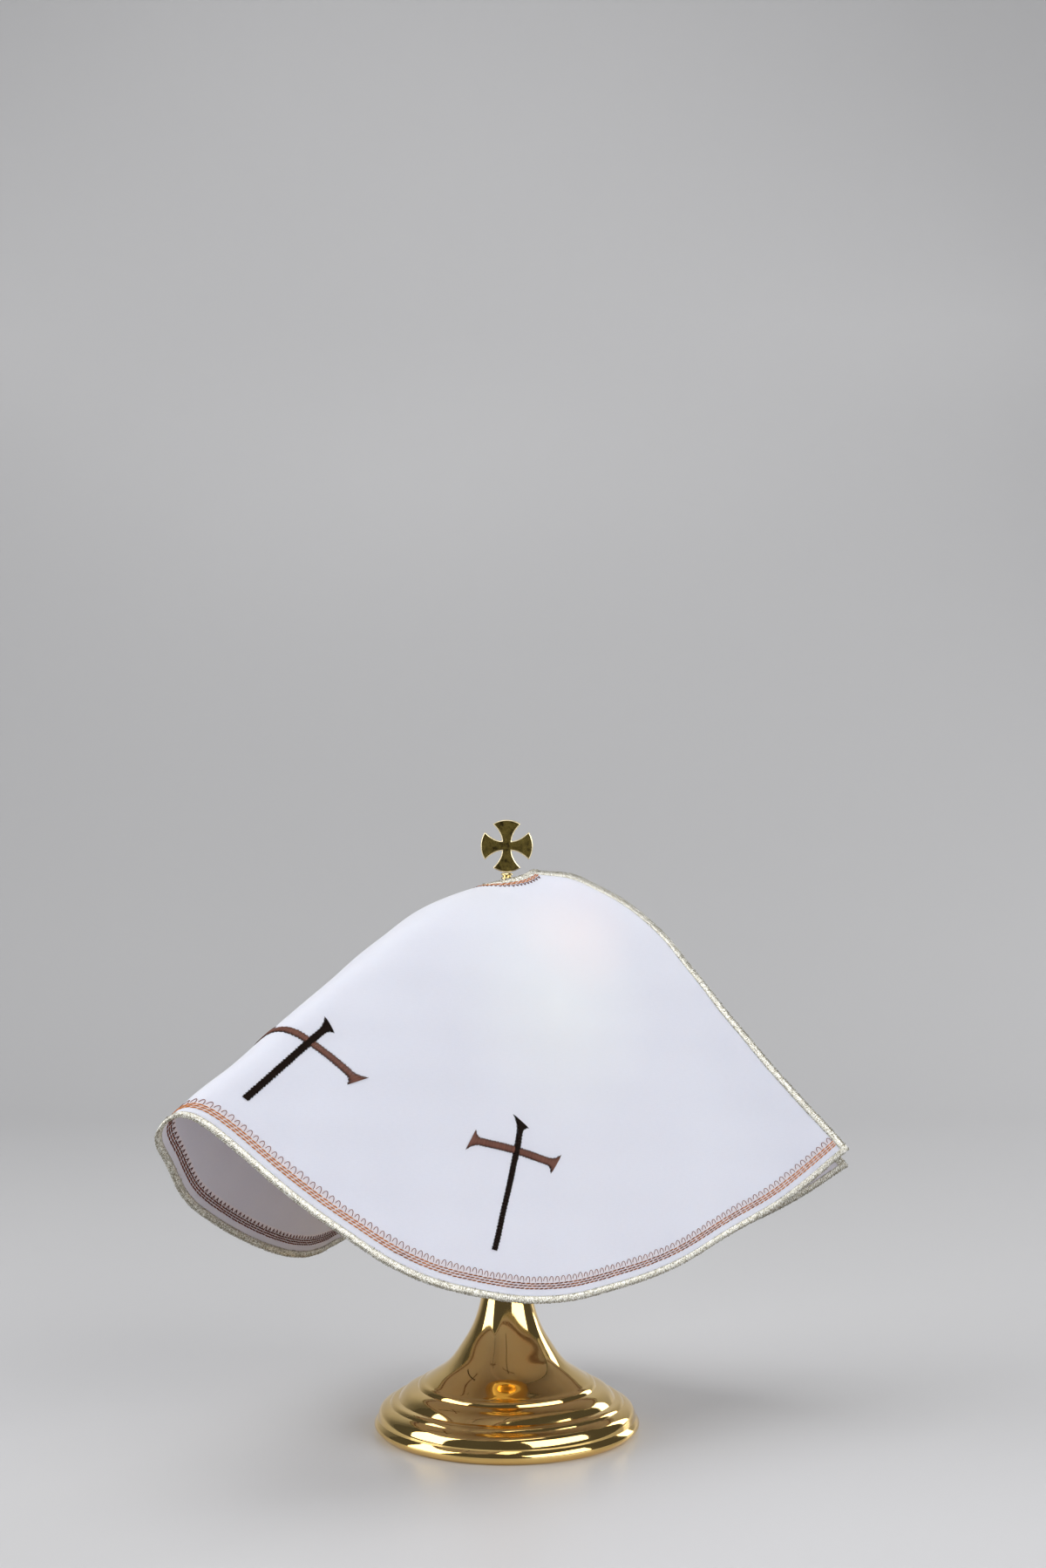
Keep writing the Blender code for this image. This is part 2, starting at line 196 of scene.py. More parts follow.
def makeCloth(name, white, shade):
    finish = Finish(name)
    place = finish.carried("flatPlace")
    body = finish.onPart()
    across, along = finish.split(place)[:2]
    turn = math.tau / (clothLook["threadMm"] * mm)
    weave = (across * turn).sine() * (along * turn).sine() * 0.5 + 0.5
    weft = finish.noise(finish.vector("MULTIPLY", place, clothLook["weftStretch"]), 1.0, 3.0)
    warp = finish.noise(finish.vector("MULTIPLY", place, clothLook["warpStretch"]), 1.0, 3.0)
    slubs = weft * clothLook["weftShare"] + warp * (1 - clothLook["weftShare"])
    clouds = finish.noise(place, clothLook["cloudScale"])
    shaded = (slubs * 1.3 + clouds * 0.5 - 0.55).clamp() * clothLook["shadeStrength"]
    base = finish.mix(shaded + weave * clothLook["weaveStrength"], white, shade)
    # painted light and shade: a pinkish band on the cloth round the rows
    near, far = clothLook["paintedRowTintMm"]
    depthMm = (hemRadiusMm * mm - finish.vector("LENGTH", place, out="Value")) * (1 / mm)
    band = (depthMm * 2.0 - near * 2.0).clamp() * (far * 2.0 - depthMm * 2.0).clamp()
    base = finish.mix(band * clothLook["paintedRowTintStrength"], base, clothLook["paintedRowTint"])
    # painted light over the cloth's colour: the pool of light and the warm glow from the lid
    for patch in paintedLightPatches:
        share = finish.nearness(body, patch["place"], patch["sizeMm"]) ** patch["power"]
        base = finish.mix(share * patch["strength"], base, patch["colour"])
    return finish.set({
        "Base Color": base,
        "Roughness": clothLook["roughness"],
        "Specular IOR Level": 0.25,
        "Sheen Weight": 0.25,
        "Sheen Roughness": 0.5,
        "Subsurface Weight": 0.7,
        "Subsurface Radius": (1.0, 0.9, 0.86),
        "Subsurface Scale": 0.0016,
        "Normal": finish.bump(weave * 0.7 + slubs * 0.8, clothLook["weaveDepthMm"]),
    })


goldLooks = {
    "polishedGold": {"warm": (0.95, 0.68, 0.26), "deep": (0.88, 0.55, 0.17), "roughness": 0.055},
    "paleGold": {"warm": (0.96, 0.84, 0.50), "deep": (0.90, 0.72, 0.34), "roughness": 0.09},
    # the bevelled edges of the finial cross: a paler gold that paints a highlight all round
    "edgeGoldPaintedHighlight": {"warm": (0.98, 0.86, 0.56), "deep": (0.95, 0.76, 0.42), "roughness": 0.32},
}
goldSurface = {
    "turningScale": 2600.0,
    "turningDepthMm": 0.012,
    "smudgeScale": 55.0,
    "smudgeRoughness": 0.07,
    "speckScale": 900.0,
}


def makeGold(name, look):
    finish = Finish(name)
    place = finish.onPart()
    height = finish.split(place)[2]
    radius = finish.vector("LENGTH", finish.vector("MULTIPLY", place, (1.0, 1.0, 0.0)), out="Value")
    ringPlace = finish.node("CombineXYZ", {}, {"X": radius, "Y": height, "Z": 0.0})
    turning = finish.noise(ringPlace, goldSurface["turningScale"])
    smudges = finish.noise(place, goldSurface["smudgeScale"], 4.0)
    specks = finish.noise(place, goldSurface["speckScale"], 2.0, 0.7)
    return finish.set({
        "Base Color": finish.mix((smudges * 1.5 - 0.45).clamp() * 0.6, look["warm"], look["deep"]),
        "Metallic": 1.0,
        "Roughness": look["roughness"]
        + (smudges - 0.45).clamp() * goldSurface["smudgeRoughness"],
        "Normal": finish.bump(turning * 0.6 + specks * 0.25, goldSurface["turningDepthMm"], 0.35),
    })


# the face of the finial cross: gold darkened with a painted dark reflection, brushed and mottled
crossFaceLook = {
    "goldInPaintedDark": (0.56, 0.42, 0.11),
    "dark": (0.07, 0.05, 0.016),
    "mottleScale": 330.0,
    "brushStretch": (4200.0, 1.0, 300.0),
    "brushDepthMm": 0.02,
    "roughness": 0.26,
}


def makeCrossFace():
    finish = Finish("brushedGoldPaintedDark")
    place = finish.onPart()
    mottle = finish.noise(place, crossFaceLook["mottleScale"], 5.0, 0.7)
    brushed = finish.noise(finish.vector("MULTIPLY", place, crossFaceLook["brushStretch"]), 1.0)
    return finish.set({
        "Base Color": finish.mix((mottle * 3.2 - 1.1).clamp(), crossFaceLook["goldInPaintedDark"],
                                 crossFaceLook["dark"]),
        "Metallic": 1.0,
        "Roughness": crossFaceLook["roughness"] + (mottle - 0.4).clamp() * 0.3,
        "Normal": finish.bump(brushed * 0.5 + mottle * 0.5, crossFaceLook["brushDepthMm"], 0.5),
    })


knitLook = {
    "bright": (0.93, 0.93, 0.89),
    "champagne": (0.68, 0.645, 0.515),
    # the dark colour: painted shade in the knit's hollows, near its outer edge and on its under
    # side, with darker patches and specks at random
    "hollow": (0.145, 0.118, 0.066),
    "hollowStrength": 0.85,
    "grainScale": 1500.0,
    "grainDark": 4.0,
    "grainDepthMm": 0.22,
    "patchScale": 420.0,
    "patchDark": 1.1,
    "reliefShade": 1.7,
    "outerEdgeShade": 0.8,                       # how much painted shade darkens the tape near its outer edge, where it curves away
    "litPlace": (-0.095, -0.141, 0.140),    # a pool of painted light, where the hem turns to the light
    "litSizeMm": 60,
    "litStrength": 0.5,
    "yarnLift": 0.5,                        # how much paler the loose loops are than the tape
    "metallic": 0.7,
    "roughness": 0.28,
}


def makeMetallicKnit(name, lift):
    finish = Finish(name)
    body = finish.onPart()
    grains = finish.noise(body, knitLook["grainScale"], 2.0, 0.75)
    patches = finish.noise(body, knitLook["patchScale"], 3.0, 0.6)
    depth, relief = finish.split(finish.carried("tapePlace"))[1:]
    base = finish.mix((grains * 5.0 - 2.0).clamp(), knitLook["champagne"], knitLook["bright"])
    # painted shade and light: darker in the knit's hollows, near the outer edge and on the under
    # side, paler in a painted pool of light; patches and grains vary at random
    outer = (1.1 - depth * 0.6).clamp() * knitLook["outerEdgeShade"]
    lit = finish.nearness(body, knitLook["litPlace"], knitLook["litSizeMm"], 1.25)
    dark = (1.3 - relief * knitLook["reliefShade"] - patches * knitLook["patchDark"] - lift
            - lit * knitLook["litStrength"] + outer
            + (0.5 - grains) * knitLook["grainDark"]).clamp() * knitLook["hollowStrength"]
    return finish.set({
        "Base Color": finish.mix(dark, base, knitLook["hollow"]),
        "Metallic": knitLook["metallic"],
        "Roughness": knitLook["roughness"] + patches * 0.2,
        "Normal": finish.bump(grains, knitLook["grainDepthMm"], 0.9),
    })


# Embroidery thread: fine plies along it, lighter and darker from stitch to stitch, with painted
# shade at its ends and along one flank where it sinks into the cloth
plainThread = {
    "flankShade": 0.0,
    "endShade": 0.3,
    "endPower": 1.6,
    "eachShade": 0.15,
    "plyShade": 0.1,
    "coat": 0.0,
}
threadLooks = {
    "fineCopperThread": {
        "light": (0.24, 0.07, 0.04), "dark": (0.09, 0.026, 0.016), "roughness": 0.4, "shine": 0.3},
    "copperThreadWrongSide": {
        "light": (0.33, 0.095, 0.05), "dark": (0.04, 0.010, 0.006), "roughness": 0.6,
        "shine": 0.08, "flankShade": 0.65, "endShade": 0.55},
    "darkCopperThread": {
        "light": (0.135, 0.038, 0.026), "dark": (0.03, 0.008, 0.005), "roughness": 0.55,
        "shine": 0.1},
    # the same brown thread twice: paler with a painted sheen for the arms of the crosses, near black
    # with painted shade for their shafts
    "brownThreadPaintedSheen": {
        "light": (0.205, 0.078, 0.050), "dark": (0.022, 0.007, 0.005), "roughness": 0.4,
        "shine": 0.25, "coat": 0.04, "endShade": 0.95, "endPower": 1.4, "eachShade": 0.34},
    "brownThreadPaintedShade": {
        "light": (0.015, 0.008, 0.0055), "dark": (0.003, 0.002, 0.0015), "roughness": 0.42,
        "shine": 0.05, "coat": 0.02, "endShade": 0.5, "endPower": 3.0, "eachShade": 0.4},
}
plyDepthMm = 0.03


def threadPlace(finish):
    # Where a point lies round its thread, along it and among the threads, and the thread's plies
    across, along, each = finish.split(finish.carried("threadPlace"))
    plies = (across * (math.tau * 3) + along * 5.0).sine() * 0.5 + 0.5
    return across, along, each, plies


def makeThread(name, ownLook):
    look = {**plainThread, **ownLook}
    finish = Finish(name)
    across, along, each, plies = threadPlace(finish)
    middle = along * 2.0 - 1.0
    # painted shade: darker towards the ends, more at one end, and along one flank
    ends = ((middle * middle) ** look["endPower"]).clamp() * (1.1 - along * 0.35)
    sunk = ((across * math.tau + 1.1).sine() * 0.5 + 0.5) ** 2.0
    dim = (each * look["eachShade"] + plies * look["plyShade"] + ends * look["endShade"]
           + sunk * look["flankShade"])
    return finish.set({
        "Base Color": finish.mix(dim.clamp(), look["light"], look["dark"]),
        "Roughness": look["roughness"],
        "Specular IOR Level": look["shine"],
        "Coat Weight": look["coat"],
        "Coat Roughness": 0.3,
        "Normal": finish.bump(plies, plyDepthMm, 0.6),
    })


# The rows of stitches: dark along the middle and paler where a stitch dips, with painted sheen that
# makes them redder and brighter high on the hem and in patches
rowLook = {
    "middle": (0.085, 0.018, 0.006),
    "litMiddle": (0.48, 0.15, 0.03),
    "tip": (0.68, 0.275, 0.12),
    "litTip": (0.92, 0.425, 0.135),
    "tipPower": 1.2,
    # painted sheen: the lit colours take over from this height up, over this span
    "lowMm": 80,
    "spanMm": 38,
    "patchScale": 170.0,
    "patchStrength": 1.6,
    "eachStrength": 0.3,
    "plyShade": 0.12,
    "metallic": 0.25,
    "roughness": 0.4,
    "shine": 0.2,
}


def makeRowThread():
    finish = Finish("copperThread")
    along, each, plies = threadPlace(finish)[1:]
    body = finish.onPart()
    height = finish.split(body)[2]
    patches = finish.noise(body, rowLook["patchScale"])
    # painted sheen: the stitches take the lit colours higher on the hem and in patches
    lit = ((height - rowLook["lowMm"] * mm) * (1 / (rowLook["spanMm"] * mm))
           + (patches - 0.5) * rowLook["patchStrength"]
           + (each - 0.5) * rowLook["eachStrength"]).clamp()
    middle = along * 2.0 - 1.0
    tips = ((middle * middle) ** rowLook["tipPower"] + plies * rowLook["plyShade"]).clamp()
    return finish.set({
        "Base Color": finish.mix(tips, finish.mix(lit, rowLook["middle"], rowLook["litMiddle"]),
                                 finish.mix(lit, rowLook["tip"], rowLook["litTip"])),
        "Metallic": rowLook["metallic"],
        "Roughness": rowLook["roughness"],
        "Specular IOR Level": rowLook["shine"],
        "Normal": finish.bump(plies, plyDepthMm, 0.6),
    })


finishes = {
    "cloth": makeCloth("finelyWovenWhite", clothLook["white"], clothLook["shade"]),
    "clothInPaintedShade": makeCloth("wovenWhiteInPaintedShade", clothLook["inside"], clothLook["insideShade"]),
    "crossFace": makeCrossFace(),
    "metallicTape": makeMetallicKnit("knittedMetallic", 0.0),
    "metallicYarn": makeMetallicKnit("metallicYarn", knitLook["yarnLift"]),
    "rowThread": makeRowThread(),
}
for name, look in goldLooks.items():
    finishes[name] = makeGold(name, look)
for name, look in threadLooks.items():
    finishes[name] = makeThread(name, look)
print("finishes made:", len(finishes))


# The draped surface

# hem x, y, z, then azimuth, radius and height of the turn over the lid
folds = (
    (0.165, 0.030, 0.126, 3, 0.0555, 0.259),
    (0.1305, 0.016, 0.102, -9, 0.055, 0.250),
    (0.103, -0.003, 0.091, -20, 0.053, 0.240),
    (0.079, -0.022, 0.082, -31, 0.052, 0.234),
    (0.054, -0.042, 0.077, -42, 0.052, 0.230),
    (0.031, -0.062, 0.075, -53, 0.052, 0.229),
    (0.007, -0.082, 0.078, -63, 0.052, 0.231),
    (-0.014, -0.099, 0.085, -72, 0.052, 0.234),
    (-0.0425, -0.120, 0.0985, -83, 0.053, 0.240),
    (-0.068, -0.133, 0.117, -93, 0.055, 0.246),
    (-0.093, -0.140, 0.137, -103, 0.058, 0.250),
    (-0.117, -0.143, 0.158, -112, 0.061, 0.253),
    (-0.137, -0.143, 0.168, -121, 0.062, 0.253),
    (-0.145, -0.137, 0.161, -128, 0.062, 0.252),
    (-0.1435, -0.121, 0.145, -137, 0.060, 0.249),
    (-0.140, -0.103, 0.129, -147, 0.058, 0.244),
    (-0.130, -0.080, 0.113, -159, 0.055, 0.237),
    (-0.114, -0.048, 0.096, -174, 0.053, 0.231),
    (-0.098, -0.010, 0.083, -192, 0.052, 0.228),
    (-0.087, 0.032, 0.079, -211, 0.052, 0.226),
    (-0.070, 0.072, 0.082, -230, 0.052, 0.226),
    (-0.036, 0.100, 0.089, -249, 0.052, 0.226),
    (0.008, 0.112, 0.091, -269, 0.052, 0.227),
    (0.052, 0.100, 0.086, -290, 0.052, 0.229),
    (0.095, 0.070, 0.079, -313, 0.052, 0.233),
    (0.134, 0.046, 0.095, -337, 0.055, 0.241),
    (0.167, 0.037, 0.118, -355, 0.058, 0.249),
)
# share, then x, y, z of the neck opening
neckStations = (
    (0.00, 0.012, 0.000, 0.264),
    (0.20, 0.004, -0.006, 0.261),
    (0.42, -0.011, -0.003, 0.257),
    (0.65, -0.005, 0.007, 0.2545),
    (1.00, 0.012, 0.0045, 0.2565),
)
# how the slit edge and the hem settle: x and z in mm, then where and how far, as share and reach
settles = (
    (-2.0, 0.0, 0.0, 0.09, 0.62, 0.19),
    (0.0, 2.0, 0.0, 0.10, 0.09, 0.055),
    (1.3, 1.4, 0.0, 0.06, 1.0, 0.13),
    (0.0, -0.9, 0.128, 0.035, 1.0, 0.13),
    (0.0, -0.5, 0.28, 0.08, 1.0, 0.15),
)
# waves of the ripple: length in mm, heading in degrees, offset
ripples = ((64, 20, 0.3), (47, 75, 2.1), (38, 130, 4.4), (29, 165, 1.2), (23, 48, 5.0))


def naturalSpline(knots, values):
    knots = np.asarray(knots, float)
    values = np.asarray(values, float)
    count = len(knots)
    step = np.diff(knots)
    slope = np.diff(values, axis=0) / step[:, None]
    system = np.zeros((count, count))
    target = np.zeros_like(values)
    system[0, 0] = system[-1, -1] = 1
    for row in range(1, count - 1):
        system[row, row - 1:row + 2] = (step[row - 1], 2 * (step[row - 1] + step[row]), step[row])
        target[row] = 6 * (slope[row] - slope[row - 1])
    bend = np.linalg.solve(system, target)

    def evaluate(places):
        places = np.atleast_1d(np.asarray(places, float))
        span = np.clip(np.searchsorted(knots, places) - 1, 0, count - 2)
        width = step[span][:, None]
        before = (places - knots[span])[:, None]
        after = width - before
        curved = (bend[span] * after ** 3 + bend[span + 1] * before ** 3) / (6 * width)
        low = (values[span] / width - bend[span] * width / 6) * after
        high = (values[span + 1] / width - bend[span + 1] * width / 6) * before
        return curved + low + high

    return evaluate


def unit(vectors):
    return vectors / np.maximum(np.linalg.norm(vectors, axis=-1, keepdims=True), 1e-12)


class DrapedVeil:
    def __init__(self):
        rows = np.array(folds, float)
        hemSteps = np.linalg.norm(np.diff(rows[:, :3], axis=0), axis=1)
        knots = np.concatenate(([0.0], np.cumsum(hemSteps)))
        self.rowsAt = naturalSpline(knots, rows)
        self.fine = np.linspace(0.0, knots[-1], 1200)
        hem = self.rowsAt(self.fine)[:, :3]
        fineSteps = np.linalg.norm(np.diff(hem, axis=0), axis=1)
        self.arc = np.concatenate(([0.0], np.cumsum(fineSteps)))
        stations = np.array(neckStations)
        self.neckAt = naturalSpline(stations[:, 0], stations[:, 1:])
        # the way out of the cloth, from one small corner of it
        spots = self.smooth(np.array([0.25, 0.251, 0.25]), np.array([0.8, 0.8, 0.801]))
        normal = np.cross(spots[1] - spots[0], spots[2] - spots[0])
        self.outward = math.copysign(1.0, normal[0] * spots[0][0] + normal[1] * spots[0][1])

    def smooth(self, share, reach):
        row = self.rowsAt(np.interp(share * self.arc[-1], self.arc, self.fine))
        neck = self.neckAt(share)
        hem = row[:, :3]
        azimuth = np.radians(row[:, 3])
        turn = np.stack((row[:, 4] * np.cos(azimuth), row[:, 4] * np.sin(azimuth), row[:, 5]), 1)
        upper = np.linalg.norm(turn - neck, axis=1, keepdims=True)
        lower = np.linalg.norm(hem - turn, axis=1, keepdims=True)
        out = (turn - neck) / upper
        change = (hem - turn) / lower - out
        whole = upper + lower
        soft = drape["shoulderSoftness"]

        def rounded(distance):
            bend = soft * np.logaddexp(0, (distance - upper) / soft)
            return neck + out * distance + change * bend

        down = reach[:, None]
        startError = neck - rounded(0.0 * whole)
        endError = hem - rounded(whole)
        point = rounded(down * whole) + startError * (1 - down) + endError * down
        for x, z, atShare, shareWidth, atReach, reachWidth in settles:
            amount = np.exp(-((share - atShare) / shareWidth) ** 2
                            - ((reach - atReach) / reachWidth) ** 2) * mm
            point[:, 0] += x * amount
            point[:, 2] += z * amount
        return point

    def surface(self, share, reach):
        # Points of the cloth with its ripple, and the way out of it
        share = np.clip(np.ravel(share), 0, 1)
        reach = np.clip(np.ravel(reach), 0, 1)
        step = drape["frameStep"]
        left, right = np.clip(share - step, 0, 1), np.clip(share + step, 0, 1)
        above, below = np.clip(reach - step, 0, 1), np.clip(reach + step, 0, 1)
        along = unit(self.smooth(right, reach) - self.smooth(left, reach))
        down = unit(self.smooth(share, below) - self.smooth(share, above))
        out = unit(np.cross(along, down)) * self.outward
        across, up = flatPlace(share, reach)
        height = np.zeros(len(share))
        for length, heading, offset in ripples:
            turn = math.radians(heading)
            phase = (across * math.cos(turn) + up * math.sin(turn)) / (length * mm) * math.tau
            height += np.sin(phase + offset)
        height *= np.clip((reach - drape["calmReach"]) / drape["calmSpan"], 0, 1)
        height *= drape["rippleMm"] * mm / 2
        return self.smooth(share, reach) + out * height[:, None], out


def flatPlace(share, reach):
    # Where a place on the cloth lies on the flat sector
    radius = radiusAt(reach) * mm
    turn = share * drape["sectorAngle"]
    return radius * np.cos(turn), radius * np.sin(turn)


def radiusAt(reach):
    return drape["neckRadiusMm"] + reach * drape["meridianMm"]


veil = DrapedVeil()


# Meshes: every woven or sewn piece is made of four-sided faces from arrays

def mount(name, mesh):
    piece = bpy.data.objects.new(name, mesh)
    bpy.context.scene.collection.objects.link(piece)
    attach(piece, "root")
    return piece


def addPiece(name, points, faces, material, label, values):
    mesh = bpy.data.meshes.new(name)
    points = np.asarray(points, np.float32).reshape(-1, 3)
    faces = np.asarray(faces, np.int32).reshape(-1, 4)
    mesh.vertices.add(len(points))
    mesh.vertices.foreach_set("co", points.ravel())
    mesh.loops.add(faces.size)
    mesh.loops.foreach_set("vertex_index", faces.ravel())
    mesh.polygons.add(len(faces))
    mesh.polygons.foreach_set("loop_start", np.arange(0, faces.size, 4, dtype=np.int32))
    mesh.update(calc_edges=True)
    mesh.validate()
    mesh.shade_smooth()
    made = mesh.attributes.new(label, "FLOAT_VECTOR", "POINT")
    made.data.foreach_set("vector", np.asarray(values, np.float32).ravel())
    mesh.materials.append(material)
    return mount(name, mesh)


def gridFaces(rows, columns, wrapColumns=False, start=0):
    row, column = np.meshgrid(np.arange(rows - 1),
                              np.arange(columns if wrapColumns else columns - 1), indexing="ij")
    nextColumn = (column + 1) % columns
    faces = np.stack((row * columns + column, row * columns + nextColumn,
                      (row + 1) * columns + nextColumn, (row + 1) * columns + column), -1)
    return faces.reshape(-1, 4) + start


def sewThreads(name, paths, outs, radiusMm, material, taper=0.55, flatten=0.8, sides=4,
               fullness=9.0):
    # Many short threads at once. paths and outs are threads x points x 3, and a low fullness makes
    # a thread swell only in its middle
    count, length = paths.shape[:2]
    tangent = unit(np.gradient(paths, axis=1))
    side = unit(np.cross(outs, tangent))
    up = np.cross(tangent, side)
    width = radiusMm * mm * np.clip(np.sin(math.pi * np.linspace(0.0, 1.0, length)) * fullness,
                                    taper, 1.0)
    angle = math.tau * (np.arange(sides) + 0.5) / sides
    ring = (side[:, :, None] * np.cos(angle)[:, None]
            + up[:, :, None] * (np.sin(angle) * flatten)[:, None])
    points = paths[:, :, None] + ring * width[:, None, None]
    tube = gridFaces(length, sides, wrapColumns=True)
    caps = [[0, 3, 2, 1]] if sides == 4 else [[0, 3, 2, 1], [0, 5, 4, 3]]
    last = (length - 1) * sides
    ends = [[last + place for place in cap[::-1]] for cap in caps]
    one = np.vstack((tube, caps, ends))
    faces = (one[None] + (np.arange(count) * length * sides)[:, None, None]).reshape(-1, 4)
    place = np.zeros((count, length, sides, 3))
    place[..., 0] = np.arange(sides) / sides
    place[..., 1] = np.linspace(0, 1, length)[None, :, None]
    place[..., 2] = chance.random(count)[:, None, None]
    return addPiece(name, points, faces, material, "threadPlace", place)


# The cloth

clothSettings = {
    "columns": 330,
    "rows": 76,
    "thicknessMm": 0.7,
    "edgeMm": 0.9,        # how far inside its binding the cloth's cut edge lies
    "grainAngle": -38,    # the weft's heading on the flat cloth, in degrees
}


def makeVeilCloth():
    columns, rows = clothSettings["columns"], clothSettings["rows"]
    edge = clothSettings["edgeMm"] / drape["meridianMm"]
    column, reach = np.meshgrid(np.linspace(0, 1, columns), np.linspace(edge, 1 - edge, rows),
                                indexing="ij")
    column, reach = column.ravel(), reach.ravel()
    margin = clothSettings["edgeMm"] / (radiusAt(reach) * drape["sectorAngle"])
    share = margin + (1 - 2 * margin) * column
    point, out = veil.surface(share, reach)
    half = clothSettings["thicknessMm"] * mm / 2
    points = np.concatenate((point + out * half, point - out * half))
    across, up = flatPlace(share, reach)
    grain = math.radians(clothSettings["grainAngle"])
    flat = np.stack((across * math.cos(grain) + up * math.sin(grain),
                     up * math.cos(grain) - across * math.sin(grain), np.zeros(len(share))), -1)
    count = columns * rows
    top = gridFaces(columns, rows)
    under = gridFaces(columns, rows, start=count)[:, ::-1]
    grid = np.arange(count).reshape(columns, rows)
    rim = np.concatenate((grid[:, 0], grid[-1, 1:], grid[-2::-1, -1], grid[0, -2:0:-1]))
    after = np.roll(rim, -1)
    edgeFaces = np.stack((after, rim, rim + count, after + count), -1)
    faces = np.vstack((top, under, edgeFaces))
    if veil.outward > 0:
        faces = faces[:, ::-1]
    piece = addPiece("veilCloth", points, faces, finishes["cloth"], "flatPlace",
                     np.concatenate((flat, flat)))
    # the under side takes the same cloth, greyed with painted shade
    piece.data.materials.append(finishes["clothInPaintedShade"])
    inside = np.zeros(len(piece.data.polygons), np.int32)
    inside[len(top):len(top) + len(under)] = 1
    piece.data.polygons.foreach_set("material_index", inside)
    return piece


veilCloth = makeVeilCloth()
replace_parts(veilCloth, "veil_cloth")
print("cloth made:", len(veilCloth.data.polygons), "faces")


# The bindings: a knitted metallic tape folded over each edge

tape = {
    "widthMm": 3.2,
    "slitWidthMm": 3.6,
    "slitLengthMm": 212,
    "slitEnds": (0.002, 0.998),
    "neckLengthMm": 50,
    "halfThicknessMm": 0.78,
    "bulgePower": 0.6,
    "stepMm": 0.2,
    "ringPoints": 16,
    "strokeMm": 0.82,         # the knit's strokes, how far they slant and how deep they lie
    "slant": 0.42,
    "strokeDepthMm": 0.42,
    "rowMm": 1.35,
    "rowPhase": 0.8,
    "strokeShare": 0.75,
    "rowShare": 0.35,
    "wander": 0.08,
    "edgeFrom": -0.3,         # the cosine round the tape below which its surface is the edge
    "edgeLevel": 0.4,
    "edgeDepthMm": 0.28,
    "edgeGrainMm": 0.06,
    "grainSpread": 0.5,
    "grainDepthMm": 0.075,
    "grainShade": 0.2,
    # painted shade on the tape's under side
    "underSideShade": 0.22,
    "loopEveryMm": 0.25,
    "loopsOnEdge": 0.6,       # the share of the loose loops that stand on the very edge
    "loopEdgeMm": 0.05,
    "loopPoints": 5,
    "loopSunkMm": 0.1,
    "loopHeightMm": 0.55,
    "loopHeightShares": (0.4, 1.2),    # of that height, for the lowest loop and the highest
    "loopSpreadMm": (0.22, 0.42),
    "loopLean": 0.5,
    "loopTwist": 0.45,
    "loopRadiusMm": 0.095,
}


# Each edge gives the share and reach at a part of its length and a depth in mm
def hemEdge(part, depthMm):
    return part, 1 - depthMm / drape["meridianMm"]


def neckEdge(part, depthMm):
    return part, depthMm / drape["meridianMm"]


def frontEdge(part, depthMm):
    return depthMm / (radiusAt(part) * drape["sectorAngle"]), part


def backEdge(part, depthMm):
    share, reach = frontEdge(part, depthMm)
    return 1 - share, reach


def alongEdge(edge, part, depthMm, stepMm):
    # Points of the cloth by an edge, the way out of the cloth and the way in from the edge
    point, out = veil.surface(*edge(part, depthMm))
    inner = veil.surface(*edge(part, depthMm + stepMm))[0]
    return point, out, unit(inner - point)


def tapeHeight(lengthMm, depthMm, side):
    # The relief of the knit, from 0 in its hollows to 1 on its strokes
    stroke = np.cos(math.tau * (lengthMm / tape["strokeMm"] + side * tape["slant"] * depthMm))
    row = np.cos(math.tau * depthMm / tape["rowMm"] + tape["rowPhase"])
    wander = np.sin(lengthMm * 0.9 + 3 * np.sin(lengthMm * 0.23)) * tape["wander"]
    relief = stroke * tape["strokeShare"] + row * tape["rowShare"] + wander
    return 0.5 + 0.5 * np.clip(relief, -1, 1)


def makeTape(name, edge, lengthMm, widthMm, node, ends=(0.0, 1.0)):
    steps = int(lengthMm / tape["stepMm"])
    ring = tape["ringPoints"]
    part, turn = np.meshgrid(np.linspace(*ends, steps), math.tau * np.arange(ring) / ring,
                             indexing="ij")
    part, turn = part.ravel(), turn.ravel()
    half = widthMm / 2
    depthMm = np.clip(half + half * np.cos(turn), 0.0, None)
    side = np.sign(np.sin(turn))
    bulge = side * np.abs(np.sin(turn)) ** tape["bulgePower"]
    point, out, inward = alongEdge(edge, part, depthMm, 0.3)
    placeMm = part * lengthMm
    relief = tapeHeight(placeMm, depthMm, side)
    grain = chance.normal(0.0, tape["grainSpread"], len(part))
    heightMm = (bulge * tape["halfThicknessMm"] + side * (relief - 0.5) * tape["strokeDepthMm"]
                + grain * tape["grainDepthMm"])
    atEdge = np.cos(turn) < tape["edgeFrom"]
    outwardMm = np.where(atEdge, (relief - tape["edgeLevel"]) * tape["edgeDepthMm"]
                         + grain * tape["edgeGrainMm"], 0.0)
    points = point + out * (heightMm * mm)[:, None] - inward * (outwardMm * mm)[:, None]
    caps = []
    for first, flip in ((0, False), ((steps - 1) * ring, True)):
        for place in range(ring // 2 - 1):
            far = first + ring - 1 - place
            cap = [first + place, first + place + 1, far - 1, far]
            caps.append(cap[::-1] if flip else cap)
    faces = np.vstack((gridFaces(steps, ring, wrapColumns=True), caps))
    # painted shade: the under side of the tape gets a lower relief value, so it shows darker
    shown = relief + grain * tape["grainShade"] - np.where(side < 0, tape["underSideShade"], 0.0)
    piece = addPiece(name, points, faces, finishes["metallicTape"],
                     "tapePlace", np.stack((placeMm, depthMm, np.clip(shown, 0, 1)), -1))
    work = bmesh.new()
    work.from_mesh(piece.data)
    bmesh.ops.recalc_face_normals(work, faces=work.faces)
    work.to_mesh(piece.data)
    work.free()
    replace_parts(piece, node)
    return piece


